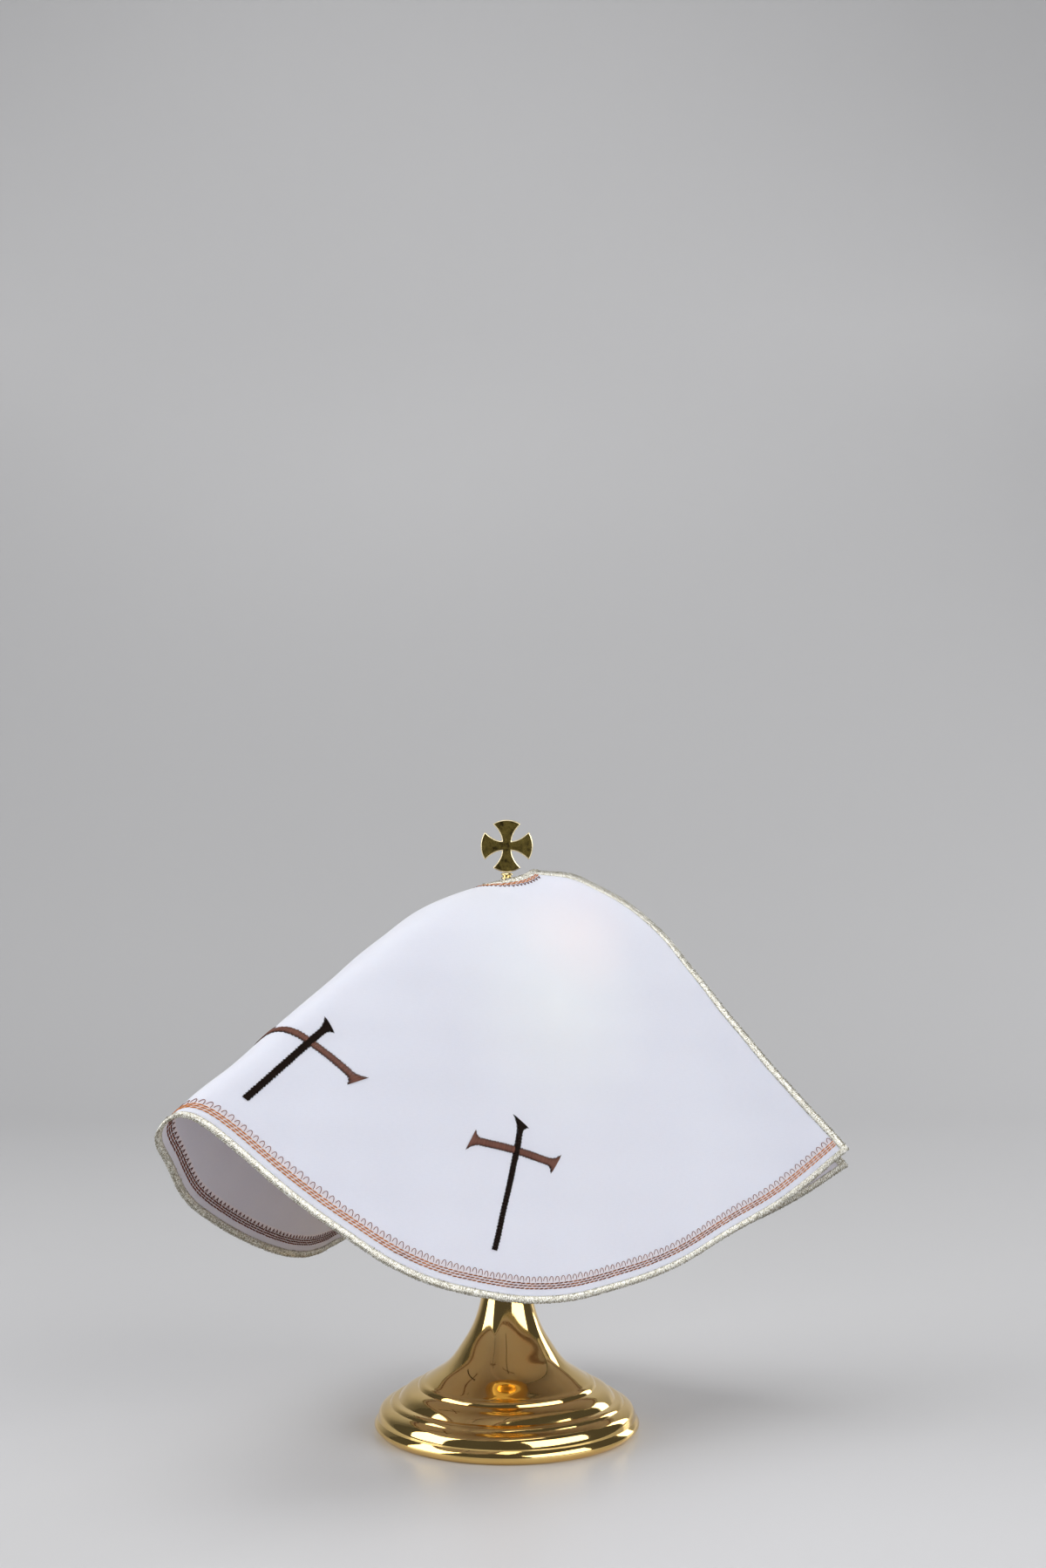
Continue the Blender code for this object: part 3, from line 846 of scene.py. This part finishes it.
def makeTapeLoops(name, edge, lengthMm):
    # Loose loops of the metallic yarn that stand out from the tape's edge and faces
    count = int(lengthMm / tape["loopEveryMm"])
    part = (np.arange(count) + chance.random(count)) / count
    depthMm = np.where(chance.random(count) < tape["loopsOnEdge"], tape["loopEdgeMm"],
                       chance.random(count) * tape["widthMm"])
    side = np.where(chance.random(count) < 0.5, -1.0, 1.0)
    point, out, inward = alongEdge(edge, part, depthMm, 0.5)
    onEdge = depthMm < 2 * tape["loopEdgeMm"]
    lean = chance.normal(0, tape["loopLean"], (count, 1))
    lift = unit(np.where(onEdge[:, None], out * lean - inward, out * side[:, None]))
    run = np.cross(np.cross(inward, out), lift)
    run = unit(run + chance.normal(0, tape["loopTwist"], (count, 3)))
    run = unit(run - lift * (run * lift).sum(1, keepdims=True))
    baseMm = np.where(onEdge, 0.0, tape["halfThicknessMm"]) - tape["loopSunkMm"]
    heightMm = tape["loopHeightMm"] * chance.uniform(*tape["loopHeightShares"], count)
    spreadMm = chance.uniform(*tape["loopSpreadMm"], count)
    angle = np.linspace(0, math.pi, tape["loopPoints"])
    riseMm = baseMm[:, None] + heightMm[:, None] * np.sin(angle)
    acrossMm = spreadMm[:, None] * np.cos(angle)
    paths = (point[:, None] + lift[:, None] * (riseMm * mm)[..., None]
             + run[:, None] * (acrossMm * mm)[..., None])
    outs = np.repeat(unit(np.cross(lift, run))[:, None], tape["loopPoints"], 1)
    return sewThreads(name, paths, outs, tape["loopRadiusMm"], finishes["metallicYarn"],
                      taper=0.8)


hemLengthMm = veil.arc[-1] / mm
bindings = [
    makeTape("hemBinding", hemEdge, hemLengthMm, tape["widthMm"], "hem_binding"),
    makeTape("neckBinding", neckEdge, tape["neckLengthMm"], tape["widthMm"], "neck_binding"),
    makeTape("slitBindingFront", frontEdge, tape["slitLengthMm"], tape["slitWidthMm"],
             "slit_binding_front", tape["slitEnds"]),
    makeTape("slitBindingBack", backEdge, tape["slitLengthMm"], tape["slitWidthMm"],
             "slit_binding_back", tape["slitEnds"]),
    makeTapeLoops("hemYarnLoops", hemEdge, hemLengthMm),
    makeTapeLoops("frontYarnLoops", frontEdge, tape["slitLengthMm"]),
    makeTapeLoops("backYarnLoops", backEdge, tape["slitLengthMm"]),
    makeTapeLoops("neckYarnLoops", neckEdge, tape["neckLengthMm"]),
]
print("bindings made; the hem is", round(hemLengthMm), "mm long")


# The rows of stitches and the scallops round the hem and the neck

sewing = {
    "startMm": 3.4,       # where the rows begin, from the slit edge
    "rowsFromHemMm": (6.2, 7.25, 8.3),
    "stitchMm": 2.65,
    "stitchRadiusMm": 0.31,
    "insideRadiusMm": 0.41,
    "slantMm": 0.11,
    "sunkMm": 0.15,       # how deep each end of a thread lies in the cloth
    "crownMm": 0.25,      # and how far its middle rises from there
    "loopLiftMm": 0.07,
    "unevenMm": 0.04,
    "unevenTurn": 0.0004,
    "crownPower": 0.7,
    "points": 7,
    "wobble": 0.05,
    "neckRowMm": (15.7, 16.6),
    "neckStitchMm": 1.9,
    "neckStitchRadiusMm": 0.34,
}
scallops = {
    "footMm": 8.5,        # how far their feet lie from the hem
    "heightMm": 2.8,
    "halfWidthMm": 0.98,
    "pitch": math.radians(0.8906),
    "radiusMm": 0.165,
    "points": 13,
    "firstMm": 1.6,       # from where the rows begin to the first loop's middle
    "risePower": 0.7,
    "skewMm": (-0.2, 0.1),
    "lastShare": 0.34,    # how high each loop ends, as a share of its height
}
spikes = {
    "radiusMm": 0.36,
    "heightShare": 0.62,  # of a scallop's height, on the under side
    "halfWidthMm": 0.95,
    "midWidth": 0.45,     # how wide a point still is at half its height
    "neckCount": 42,
    "neckFootMm": 0.4,
    "neckHeightMm": 1.6,
    "neckHalfWidthMm": 0.6,
    "neckMargin": 0.25,
}


def onCloth(radiusMm, turn, liftMm, side):
    # Points over the cloth at a flat radius and angle, lifted off its face, and the way up there
    shape = np.shape(radiusMm)
    share = np.ravel(turn) / drape["sectorAngle"]
    reach = (np.ravel(radiusMm) - drape["neckRadiusMm"]) / drape["meridianMm"]
    point, out = veil.surface(share, reach)
    lift = (np.ravel(liftMm) + clothSettings["thicknessMm"] / 2) * mm * side
    return (point + out * lift[:, None]).reshape(*shape, 3), (out * side).reshape(*shape, 3)


def stitchRow(radiusMm, stitchMm, side):
    start = sewing["startMm"] / radiusMm
    span = drape["sectorAngle"] - 2 * start
    count = int(span * radiusMm / stitchMm)
    along = np.linspace(0.0, 1.0, sewing["points"])
    turn = start + (np.arange(count)[:, None] + along) / count * span
    turn = turn + chance.normal(0, sewing["unevenTurn"], (count, 1))
    radius = radiusMm + (along - 0.5) * sewing["slantMm"] * 2
    radius = radius + chance.normal(0, sewing["unevenMm"], (count, 1))
    crown = np.sin(math.pi * along) ** sewing["crownPower"]
    lift = sewing["crownMm"] * crown - sewing["sunkMm"]
    return onCloth(radius, turn, np.repeat([lift], count, 0), side)


def makeRows(name, radii, stitchMm, radiusMm, side, material, sides=6):
    paths, outs = zip(*[stitchRow(radius, stitchMm, side) for radius in radii])
    return sewThreads(name, np.concatenate(paths), np.concatenate(outs), radiusMm, material,
                      taper=0.7, flatten=0.65, fullness=1.6, sides=sides)


def loopPaths(footMm, across, rise, turns, side):
    # The same small loop at each of many turns, none quite like the next
    wobble = 1 + chance.normal(0, sewing["wobble"], (len(turns), 1))
    radius = footMm + rise * wobble + chance.normal(0, sewing["wobble"], (len(turns), 1))
    turn = turns[:, None] + across * wobble / footMm
    lift = np.full(radius.shape, sewing["loopLiftMm"])
    lift[:, 0] = lift[:, -1] = -sewing["sunkMm"]
    return onCloth(radius, turn, lift, side)


def makeScallops(name, footMm, turns, material):
    # Arches of thin thread that stand on the rows and point to the neck
    angle = np.linspace(math.pi, 0, scallops["points"])
    skew = np.linspace(*scallops["skewMm"], len(angle))
    across = np.cos(angle) * scallops["halfWidthMm"] + skew
    rise = np.sin(angle) ** scallops["risePower"] * scallops["heightMm"]
    rise[-1] = scallops["heightMm"] * scallops["lastShare"]
    paths, outs = loopPaths(footMm, across, -rise, turns, 1.0)
    return sewThreads(name, paths, outs, scallops["radiusMm"], material,
                      taper=0.8)


def makeSpikes(name, footMm, heightMm, halfMm, turns, side, material):
    # Narrow points of thicker thread: a height below 0 turns them to the neck
    middle = spikes["midWidth"]
    across = np.array((-1.0, -middle, 0.0, middle, 1.0)) * halfMm
    rise = np.array((0.0, 0.5, 1.0, 0.5, 0.0)) * heightMm
    paths, outs = loopPaths(footMm, across, rise, turns, side)
    return sewThreads(name, paths, outs, spikes["radiusMm"], material,
                      taper=0.5, fullness=1.0)


rowRadii = [hemRadiusMm - depth for depth in sewing["rowsFromHemMm"]]
footMm = hemRadiusMm - scallops["footMm"]
firstTurn = (sewing["startMm"] + scallops["firstMm"]) / footMm
hemTurns = np.arange(firstTurn, drape["sectorAngle"] - firstTurn, scallops["pitch"])
neckTurns = ((np.arange(spikes["neckCount"]) + 0.5) / spikes["neckCount"]
             * (drape["sectorAngle"] - 2 * spikes["neckMargin"]) + spikes["neckMargin"])
embroidery = [
    makeRows("hemStitches", rowRadii, sewing["stitchMm"], sewing["stitchRadiusMm"], 1.0,
             finishes["rowThread"]),
    makeRows("hemStitchesInside", rowRadii, sewing["stitchMm"], sewing["insideRadiusMm"], -1.0,
             finishes["copperThreadWrongSide"], 4),
    makeScallops("hemScallops", footMm, hemTurns, finishes["fineCopperThread"]),
    makeSpikes("hemSpikesInside", footMm, -scallops["heightMm"] * spikes["heightShare"],
               spikes["halfWidthMm"], hemTurns, -1.0, finishes["darkCopperThread"]),
    makeRows("neckStitches", sewing["neckRowMm"], sewing["neckStitchMm"],
             sewing["neckStitchRadiusMm"], 1.0, finishes["rowThread"]),
    makeSpikes("neckSpikes", sewing["neckRowMm"][1] + spikes["neckFootMm"], spikes["neckHeightMm"],
               spikes["neckHalfWidthMm"], neckTurns, 1.0, finishes["darkCopperThread"]),
]
print("hem and neck sewn:", len(hemTurns), "scallops")


# The crosses in satin stitch, in mm on the flat cloth, their arms flared and cut aslant at the ends

crossPlan = {
    "shaftHalfMm": 1.42,
    "shaftFlareMm": 4.1,
    "shaftLiftMm": 0.24,      # how far the shaft rises where it crosses the arms
    "armHalfMm": 1.5,
    "armFlareMm": 4.6,
    "bendMm": 2.5,
    "flareLengthMm": 6.0,
    "endSlantMm": 1.6,
    "crossingMm": 3.2,
    "stitchPitchMm": 0.36,
    "threadRadiusMm": 0.235,
    "crownMm": 0.3,
    "sunkMm": 0.12,
    "raggedMm": 0.25,
    "unevenMm": 0.025,
    "flarePower": 3.0,
    "slantPower": 1.6,
    "points": 7,
}
# share and reach where the arms meet, tilt in degrees, and in mm from there: the middles of the
# ends of the arms, the top of the shaft and its foot
backCross = {"reach": 0.7100, "tilt": -3.5, "right": (-24.0, 0.0), "left": (24.5, -1.0),
             "top": (0.6, 12.3), "foot": (0.0, -41.0)}
crossPlaces = (
    {"share": 0.2384, "reach": 0.6952, "tilt": -4.9, "right": (-22.3, -0.6), "left": (24.7, -1.2),
     "top": (1.5, 12.6), "foot": (0.3, -43.7), "topSlantMm": 2.5},
    {"share": 0.4007, "reach": 0.7215, "tilt": -3.0, "right": (-25.6, 2.9), "left": (19.6, 0.3),
     "top": (-0.2, 12.0), "foot": (0.0, -38.0), "armSlantMm": 2.5},
    {"share": 0.6150, **backCross},
    {"share": 0.7900, **backCross},
)


def satinBar(start, end, halfMm, flareHalfMm, flareStart, slant):
    # Two straight halves meet in a soft bend at the crossing. The stitches lie across the bar, and
    # spread and turn aslant towards an end that flares
    start, end = np.array(start), np.array(end)
    low, high = np.linalg.norm(start), np.linalg.norm(end)
    along = np.linspace(-low, high, int((low + high) / crossPlan["stitchPitchMm"]))
    soft = crossPlan["bendMm"]
    before = soft * np.logaddexp(0, -along / soft)
    after = soft * np.logaddexp(0, along / soft)
    line = before[:, None] * start / low + after[:, None] * end / high
    half = np.full(len(along), halfMm)
    lean = np.zeros(len(along))
    flare = crossPlan["flareLengthMm"]
    for flared, distance in ((flareStart, along + low), (True, high - along)):
        if flared:
            near = np.clip(1 - distance / flare, 0, 1)
            half += (flareHalfMm - halfMm) * near ** crossPlan["flarePower"]
            lean += slant * near ** crossPlan["slantPower"]
    return line, half, lean


def makeCross(index, place, side):
    middle = np.array(flatPlace(place["share"], place["reach"])) / mm
    inward = -middle / np.linalg.norm(middle)
    turn = math.radians(-place["tilt"])
    upward = np.array((inward[0] * math.cos(turn) - inward[1] * math.sin(turn),
                       inward[0] * math.sin(turn) + inward[1] * math.cos(turn)))
    leftward = np.array((-upward[1], upward[0]))
    if np.dot(leftward, (-middle[1], middle[0])) < 0:
        leftward = -leftward
    arms = satinBar(place["right"], place["left"], crossPlan["armHalfMm"], crossPlan["armFlareMm"],
                    True, -place.get("armSlantMm", crossPlan["endSlantMm"]))
    shaft = satinBar(place["foot"], place["top"], crossPlan["shaftHalfMm"],
                     crossPlan["shaftFlareMm"], False,
                     -place.get("topSlantMm", crossPlan["endSlantMm"]))
    made = []
    # the arms and the shaft are one brown thread, the arms with a painted sheen and the shaft in
    # painted shade
    for label, (line, half, lean), material, rise in (
            ("Arms", arms, finishes["brownThreadPaintedSheen"], 0.0),
            ("Shaft", shaft, finishes["brownThreadPaintedShade"], crossPlan["shaftLiftMm"])):
        count = len(line)
        heading = unit(np.gradient(line, axis=0))
        beside = np.stack((-heading[:, 1], heading[:, 0]), -1)
        if label == "Arms" and beside[0, 1] < 0:
            beside = -beside
        ragged = chance.random((count, 2)) * crossPlan["raggedMm"]
        ragged += (np.arange(count)[:, None] // 2 % 2) * crossPlan["raggedMm"]
        steps = np.linspace(-1, 1, crossPlan["points"])[None]
        offset = steps * (half[:, None] + np.where(steps < 0, ragged[:, :1], ragged[:, 1:]))
        plan = (line[:, None] + beside[:, None] * offset[..., None]
                + heading[:, None] * (steps * lean[:, None])[..., None])
        flat = middle + plan[..., :1] * leftward + plan[..., 1:] * upward
        over = rise * np.exp(-((line ** 2).sum(1)) / crossPlan["crossingMm"] ** 2)
        sunk = crossPlan["sunkMm"]
        lift = -sunk + (crossPlan["crownMm"] + sunk) * (1 - steps ** 4) + over[:, None]
        lift = lift + chance.normal(0, crossPlan["unevenMm"], (count, 1))
        radiusMm = np.hypot(flat[..., 0], flat[..., 1])
        turns = np.arctan2(flat[..., 1], flat[..., 0]) % math.tau
        paths, outs = onCloth(radiusMm, turns, lift, side)
        name = "cross" + str(index + 1) + label + ("" if side > 0 else "Inside")
        made.append(sewThreads(name, paths, outs, crossPlan["threadRadiusMm"], material,
                               taper=0.7, flatten=0.75))
    return made


for index, place in enumerate(crossPlaces):
    embroidery += makeCross(index, place, 1.0)
    embroidery += makeCross(index, place, -1.0)
print("crosses embroidered")


# The ciborium: turned gold with its finial, all in metres

turnery = {
    "gap": 0.0003,            # between the turned pieces
    "footSteps": 160,
    "stemSteps": 72,
    "cupSteps": 112,
    "knobSteps": 56,
    "smoothAngle": 30,
}
footHollow = {
    "wall": 0.0016,
    "floor": 0.0012,
    "widest": 0.0590,
    "narrowest": 0.0113,
    "rimRadius": 0.0592,
    "topRadius": 0.0085,
    "top": 0.0620,
}
# radius, height and bulge of the foot's sections, in metres
footSections = (
    (0.0596, 0.0000, 0.0000),
    (0.0605, 0.0006, 0.0019),
    (0.0609, 0.0064, 0.0000),
    (0.0608, 0.0072, 0.0012),
    (0.0562, 0.0129, 0.0000),
    (0.0552, 0.0132, 0.0005),
    (0.0521, 0.0151, 0.0000),
    (0.0511, 0.0153, 0.0011),
    (0.0432, 0.0208, 0.0000),
    (0.0422, 0.0210, 0.0006),
    (0.0392, 0.0236, 0.0000),
)
trumpetRings = (
    (0.0384, 0.0241), (0.0350, 0.0264), (0.0299, 0.0298), (0.0261, 0.0335), (0.0219, 0.0394),
    (0.0173, 0.0469), (0.0145, 0.0535), (0.0125, 0.0608), (0.0108, 0.0710), (0.0098, 0.0820),
    (0.0094, 0.0920),
)


def turned(name, rings, steps, material, node):
    mesh = bpy.data.meshes.new(name)
    lathe = bmesh.new()
    verts = [lathe.verts.new((radius, 0.0, height)) for radius, height in rings]
    edges = [lathe.edges.new(pair) for pair in zip(verts[:-1], verts[1:])]
    bmesh.ops.spin(lathe, geom=verts + edges, cent=(0, 0, 0), axis=(0, 0, 1),
                   angle=math.tau, steps=steps, use_merge=True, use_duplicate=False)
    bmesh.ops.remove_doubles(lathe, verts=lathe.verts, dist=0.000001)
    bmesh.ops.recalc_face_normals(lathe, faces=lathe.faces)
    lathe.to_mesh(mesh)
    lathe.free()
    mesh.shade_smooth()
    mesh.set_sharp_from_angle(angle=math.radians(turnery["smoothAngle"]))
    mesh.materials.append(finishes[material])
    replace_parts(mount(name, mesh), node)


def swollen(sections, steps=14):
    rings = []
    for (radius, height, bulge), (nextRadius, nextHeight, _) in zip(sections[:-1], sections[1:]):
        along = np.array((nextRadius - radius, nextHeight - height))
        outward = np.array((along[1], -along[0])) / np.linalg.norm(along)
        count = steps if bulge else 3
        for part in np.arange(count) / count:
            swell = outward * bulge * math.sin(math.pi * part)
            rings.append(tuple(np.array((radius, height)) + along * part + swell))
    return rings + [sections[-1][:2]]


def alongRings(rings, count):
    spots = np.array(rings)
    travel = np.concatenate(([0], np.cumsum(np.linalg.norm(np.diff(spots, axis=0), axis=1))))
    evenly = naturalSpline(travel, spots)(np.linspace(0, travel[-1], count))
    return [tuple(spot) for spot in evenly]


def makeFoot():
    outer = swollen(footSections) + alongRings(trumpetRings, 64)
    hollow = [(footHollow["topRadius"], footHollow["top"])]
    for radius, height in outer[::-4]:
        inner = radius - footHollow["wall"]
        if radius > footHollow["narrowest"] and inner < footHollow["widest"]:
            hollow.append((inner, max(height - footHollow["wall"] / 4, footHollow["floor"])))
    rings = [(0.0, footHollow["top"])] + hollow + [(footHollow["rimRadius"], 0.0)]
    rings += outer + [(0.0, trumpetRings[-1][1])]
    turned("footTurned", rings, turnery["footSteps"], "polishedGold", "foot")


cup = {
    "base": 0.1263,
    "radius": 0.0470,
    "depth": 0.0770,
    "flat": 0.0150,
    "wall": 0.0015,
    "fullness": 2 / 2.6,
}
knop = {
    "height": 0.0200,
    "neck": 0.0085,
    "swell": 0.0080,
    "stemSwell": 0.0065,
}


def makeStem():
    base = trumpetRings[-1][1] + turnery["gap"]
    rings = [(0.0, base)]
    for turn in np.linspace(0, math.pi, 41):
        rings.append((knop["neck"] + knop["swell"] * math.sin(turn),
                      base + knop["height"] * (1 - math.cos(turn)) / 2))
    rings.append((0.0, base + knop["height"]))
    turned("knopTurned", rings, turnery["stemSteps"], "polishedGold", "knop")
    low = trumpetRings[-1][1] + knop["height"] + 2 * turnery["gap"]
    high = cup["base"] - turnery["gap"]
    rings = [(0.0, low)]
    for part in np.linspace(0, 1, 24):
        rings.append((knop["neck"] + knop["stemSwell"] * part ** 2, low + (high - low) * part))
    turned("stemTurned", rings + [(0.0, high)], turnery["stemSteps"], "polishedGold",
           "upper_stem")


lidForm = {
    "radius": 0.0480,
    "rise": 0.0455,
    "rim": 0.0030,
    "top": 0.0060,
    "curve": 1.75,
    "lipDepth": 0.0050,
    "lipPlay": 0.0006,
}
lidSeat = cup["base"] + cup["depth"] + turnery["gap"]


def bowl(inset):
    radius, flat = cup["radius"] - inset, cup["flat"] - inset
    rings = [(0.0, cup["base"] + inset)]
    for turn in np.linspace(0, math.pi / 2, 40):
        rings.append((flat + (radius - flat) * math.sin(turn) ** cup["fullness"],
                      cup["base"] + inset + (cup["depth"] - inset) * (1 - math.cos(turn))))
    return rings


def makeCup():
    turned("cupTurned", bowl(0.0) + bowl(cup["wall"])[::-1], turnery["cupSteps"], "polishedGold",
           "cup")


def makeLid():
    lip = cup["radius"] - cup["wall"] - lidForm["lipPlay"]
    foot = lidSeat - lidForm["lipDepth"]

    def dome(radius, rise):
        return [(out, lidSeat + lidForm["rim"] + rise * (1 - (out / radius) ** lidForm["curve"]))
                for out in np.linspace(radius, lidForm["top"], 40)]

    outer = dome(lidForm["radius"], lidForm["rise"])
    inner = dome(lip - cup["wall"], lidForm["rise"] - cup["wall"])
    rings = [(0.0, inner[-1][1])] + inner[::-1]
    rings += [(lip - cup["wall"], foot), (lip, foot), (lip, lidSeat), (lidForm["radius"], lidSeat)]
    rings += outer + [(0.0, outer[-1][1])]
    turned("lidTurned", rings, turnery["cupSteps"], "polishedGold", "lid")


knobRings = (
    (0.0046, 0.0000), (0.0047, 0.0008), (0.0042, 0.0016), (0.0026, 0.0024), (0.0020, 0.0034),
    (0.0020, 0.0042), (0.0027, 0.0049), (0.0032, 0.0057), (0.0033, 0.0064), (0.0029, 0.0072),
    (0.0019, 0.0079), (0.0025, 0.0083), (0.0029, 0.0088), (0.0025, 0.0093), (0.0018, 0.0096),
    (0.0025, 0.0100), (0.0029, 0.0105), (0.0025, 0.0110), (0.0015, 0.0113),
)


def makeKnob():
    domeShare = 1 - (lidForm["top"] / lidForm["radius"]) ** lidForm["curve"]
    base = lidSeat + lidForm["rim"] + lidForm["rise"] * domeShare + turnery["gap"]
    top = finial["centre"] - finial["radius"] - turnery["gap"]
    scale = (top - base) / knobRings[-1][1]
    rings = [(radius, base + height * scale) for radius, height in alongRings(knobRings, 60)]
    turned("finialKnob", [(0.0, base)] + rings + [(0.0, top)], turnery["knobSteps"], "paleGold",
           "finial_knob")


finial = {
    "radius": 0.0123,
    "centre": 0.2757,
    "thickness": 0.0022,
    "waist": 0.0022,
    "halfAngle": math.radians(32.5),
    "bevel": 0.00042,
    "bevelSegments": 3,
    "bevelAngle": 60,
    "smoothAngle": 28,
    "curveSteps": 14,
    "arcSteps": 26,
}


def makeFinialCross():
    radius, waist, wide = finial["radius"], finial["waist"], finial["halfAngle"]
    corner = radius * np.array((math.sin(wide), math.cos(wide)))
    start = np.array((waist, waist))
    hollow = np.array((waist * 1.1, (waist + corner[1]) * 0.5))
    parts = np.linspace(0, 1, finial["curveSteps"])[:, None]
    right = start * (1 - parts) ** 2 + hollow * 2 * parts * (1 - parts) + corner * parts ** 2
    turns = np.linspace(wide, -wide, finial["arcSteps"])[1:-1]
    end = radius * np.stack((np.sin(turns), np.cos(turns)), -1)
    arm = np.vstack((right, end, (right[::-1] * (-1, 1))[:-1]))
    outline = []
    for turn in np.arange(4) * math.pi / 2:
        spin = np.array(((math.cos(turn), math.sin(turn)), (-math.sin(turn), math.cos(turn))))
        outline.append(arm @ spin)
    mesh = bpy.data.meshes.new("finialCross")
    plate = bmesh.new()
    verts = [plate.verts.new((x, -finial["thickness"] / 2, finial["centre"] + z))
             for x, z in np.vstack(outline)]
    sweep = bmesh.ops.extrude_face_region(plate, geom=[plate.faces.new(verts)])
    moved = [part for part in sweep["geom"] if isinstance(part, bmesh.types.BMVert)]
    bmesh.ops.translate(plate, verts=moved, vec=(0, finial["thickness"], 0))
    bmesh.ops.recalc_face_normals(plate, faces=plate.faces)
    for side in plate.faces:
        side.material_index = 0 if abs(side.normal.y) > 0.9 else 1
    plate.to_mesh(mesh)
    plate.free()
    mesh.materials.append(finishes["crossFace"])
    # the bevels take the paler gold with its painted highlight
    mesh.materials.append(finishes["edgeGoldPaintedHighlight"])
    mesh.shade_smooth()
    mesh.set_sharp_from_angle(angle=math.radians(finial["smoothAngle"]))
    piece = mount("finialCross", mesh)
    bevel = piece.modifiers.new("edges", "BEVEL")
    bevel.width = finial["bevel"]
    bevel.segments = finial["bevelSegments"]
    bevel.limit_method = "ANGLE"
    bevel.angle_limit = math.radians(finial["bevelAngle"])
    bevel.material = 1
    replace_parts(piece, "finial_cross")


makeFoot()
makeStem()
makeCup()
makeLid()
makeKnob()
makeFinialCross()
print("ciborium turned")

flatRadius = hemRadiusMm * mm
flatArea = 0.5 * drape["sectorAngle"] * (flatRadius ** 2 - (drape["neckRadiusMm"] * mm) ** 2)
flatLength = flatRadius * (1 - math.cos(drape["sectorAngle"] / 2))


# The room: a pale floor that sweeps up behind, soft lamps and the camera

room = {
    "floor": (0.66, 0.66, 0.67),
    "floorCloud": (0.62, 0.62, 0.635),
    "floorRoughness": 0.3,
    "halfWidth": 3.2,
    "front": -3.0,
    "wallDistance": 1.9,
    "sweepRadius": 0.9,
    "wallHeight": 3.0,
    "world": 0.075,
    "lampAim": (0.0, 0.0, 0.16),
}


def makeFloor():
    rows = [(room["front"], 0.0)]
    bendStart = room["wallDistance"] - room["sweepRadius"]
    for turn in np.linspace(0, math.pi / 2, 24):
        rows.append((bendStart + room["sweepRadius"] * math.sin(turn),
                     room["sweepRadius"] * (1 - math.cos(turn))))
    rows.append((room["wallDistance"], room["wallHeight"]))
    across = np.linspace(-room["halfWidth"], room["halfWidth"], 9)
    points = [(x, y, z) for y, z in rows for x in across]
    finish = Finish("paleFloor")
    cloud = finish.noise(finish.onPart(), 3.0, 3.0)
    finish.set({
        "Base Color": finish.mix(cloud * 0.3, room["floor"], room["floorCloud"]),
        "Roughness": room["floorRoughness"] + cloud * 0.08,
        "Specular IOR Level": 0.4,
    })
    mesh = bpy.data.meshes.new("paleFloor")
    mesh.from_pydata(points, [], gridFaces(len(rows), len(across)).tolist())
    mesh.shade_smooth()
    mesh.materials.append(finish.material)
    floor = bpy.data.objects.new("paleFloor", mesh)
    bpy.context.scene.collection.objects.link(floor)


# each lamp: place, width and height in metres, power in watts
lamps = {
    "frontRight": ((1.30, -1.15, 0.95), (2.00, 1.35), 28.0),
    "left": ((-1.55, -0.45, 0.90), (1.20, 1.70), 22.5),
    "above": ((-0.2, -0.25, 1.9), (1.5, 1.2), 12.5),
    "backRight": ((1.40, 1.15, 0.75), (0.45, 1.30), 7.0),
}


def makeLamps():
    for name, (place, size, power) in lamps.items():
        light = bpy.data.lights.new(name, "AREA")
        light.shape = "RECTANGLE"
        light.size, light.size_y = size
        light.energy = power
        lamp = bpy.data.objects.new(name, light)
        lamp.location = place
        aim = np.array(room["lampAim"]) - np.array(place)
        tilt = math.atan2(math.hypot(aim[0], aim[1]), -aim[2])
        lamp.rotation_euler = (tilt, 0.0, math.atan2(aim[1], aim[0]) - math.pi / 2)
        bpy.context.scene.collection.objects.link(lamp)
    world = bpy.data.worlds.new("studio")
    world.use_nodes = True
    shade = world.node_tree.nodes["Background"].inputs["Color"]
    shade.default_value = (*[room["world"]] * 3, 1.0)
    bpy.context.scene.world = world


camera = {
    "place": (0.0, -1.100, 0.305),
    "lensMm": 53.35,
    "sensorMm": 36,
    "shift": 0.0103,
    "nearest": 0.05,
}


def makeCamera():
    data = bpy.data.cameras.new("camera")
    data.lens = camera["lensMm"]
    data.sensor_width = camera["sensorMm"]
    data.shift_x = camera["shift"]
    data.clip_start = camera["nearest"]
    view = bpy.data.objects.new("camera", data)
    view.location = camera["place"]
    view.rotation_euler = (math.pi / 2, 0.0, 0.0)
    bpy.context.scene.collection.objects.link(view)
    bpy.context.scene.camera = view


makeFloor()
makeLamps()
makeCamera()
bpy.context.scene.view_settings.view_transform = "Standard"
print("room set")
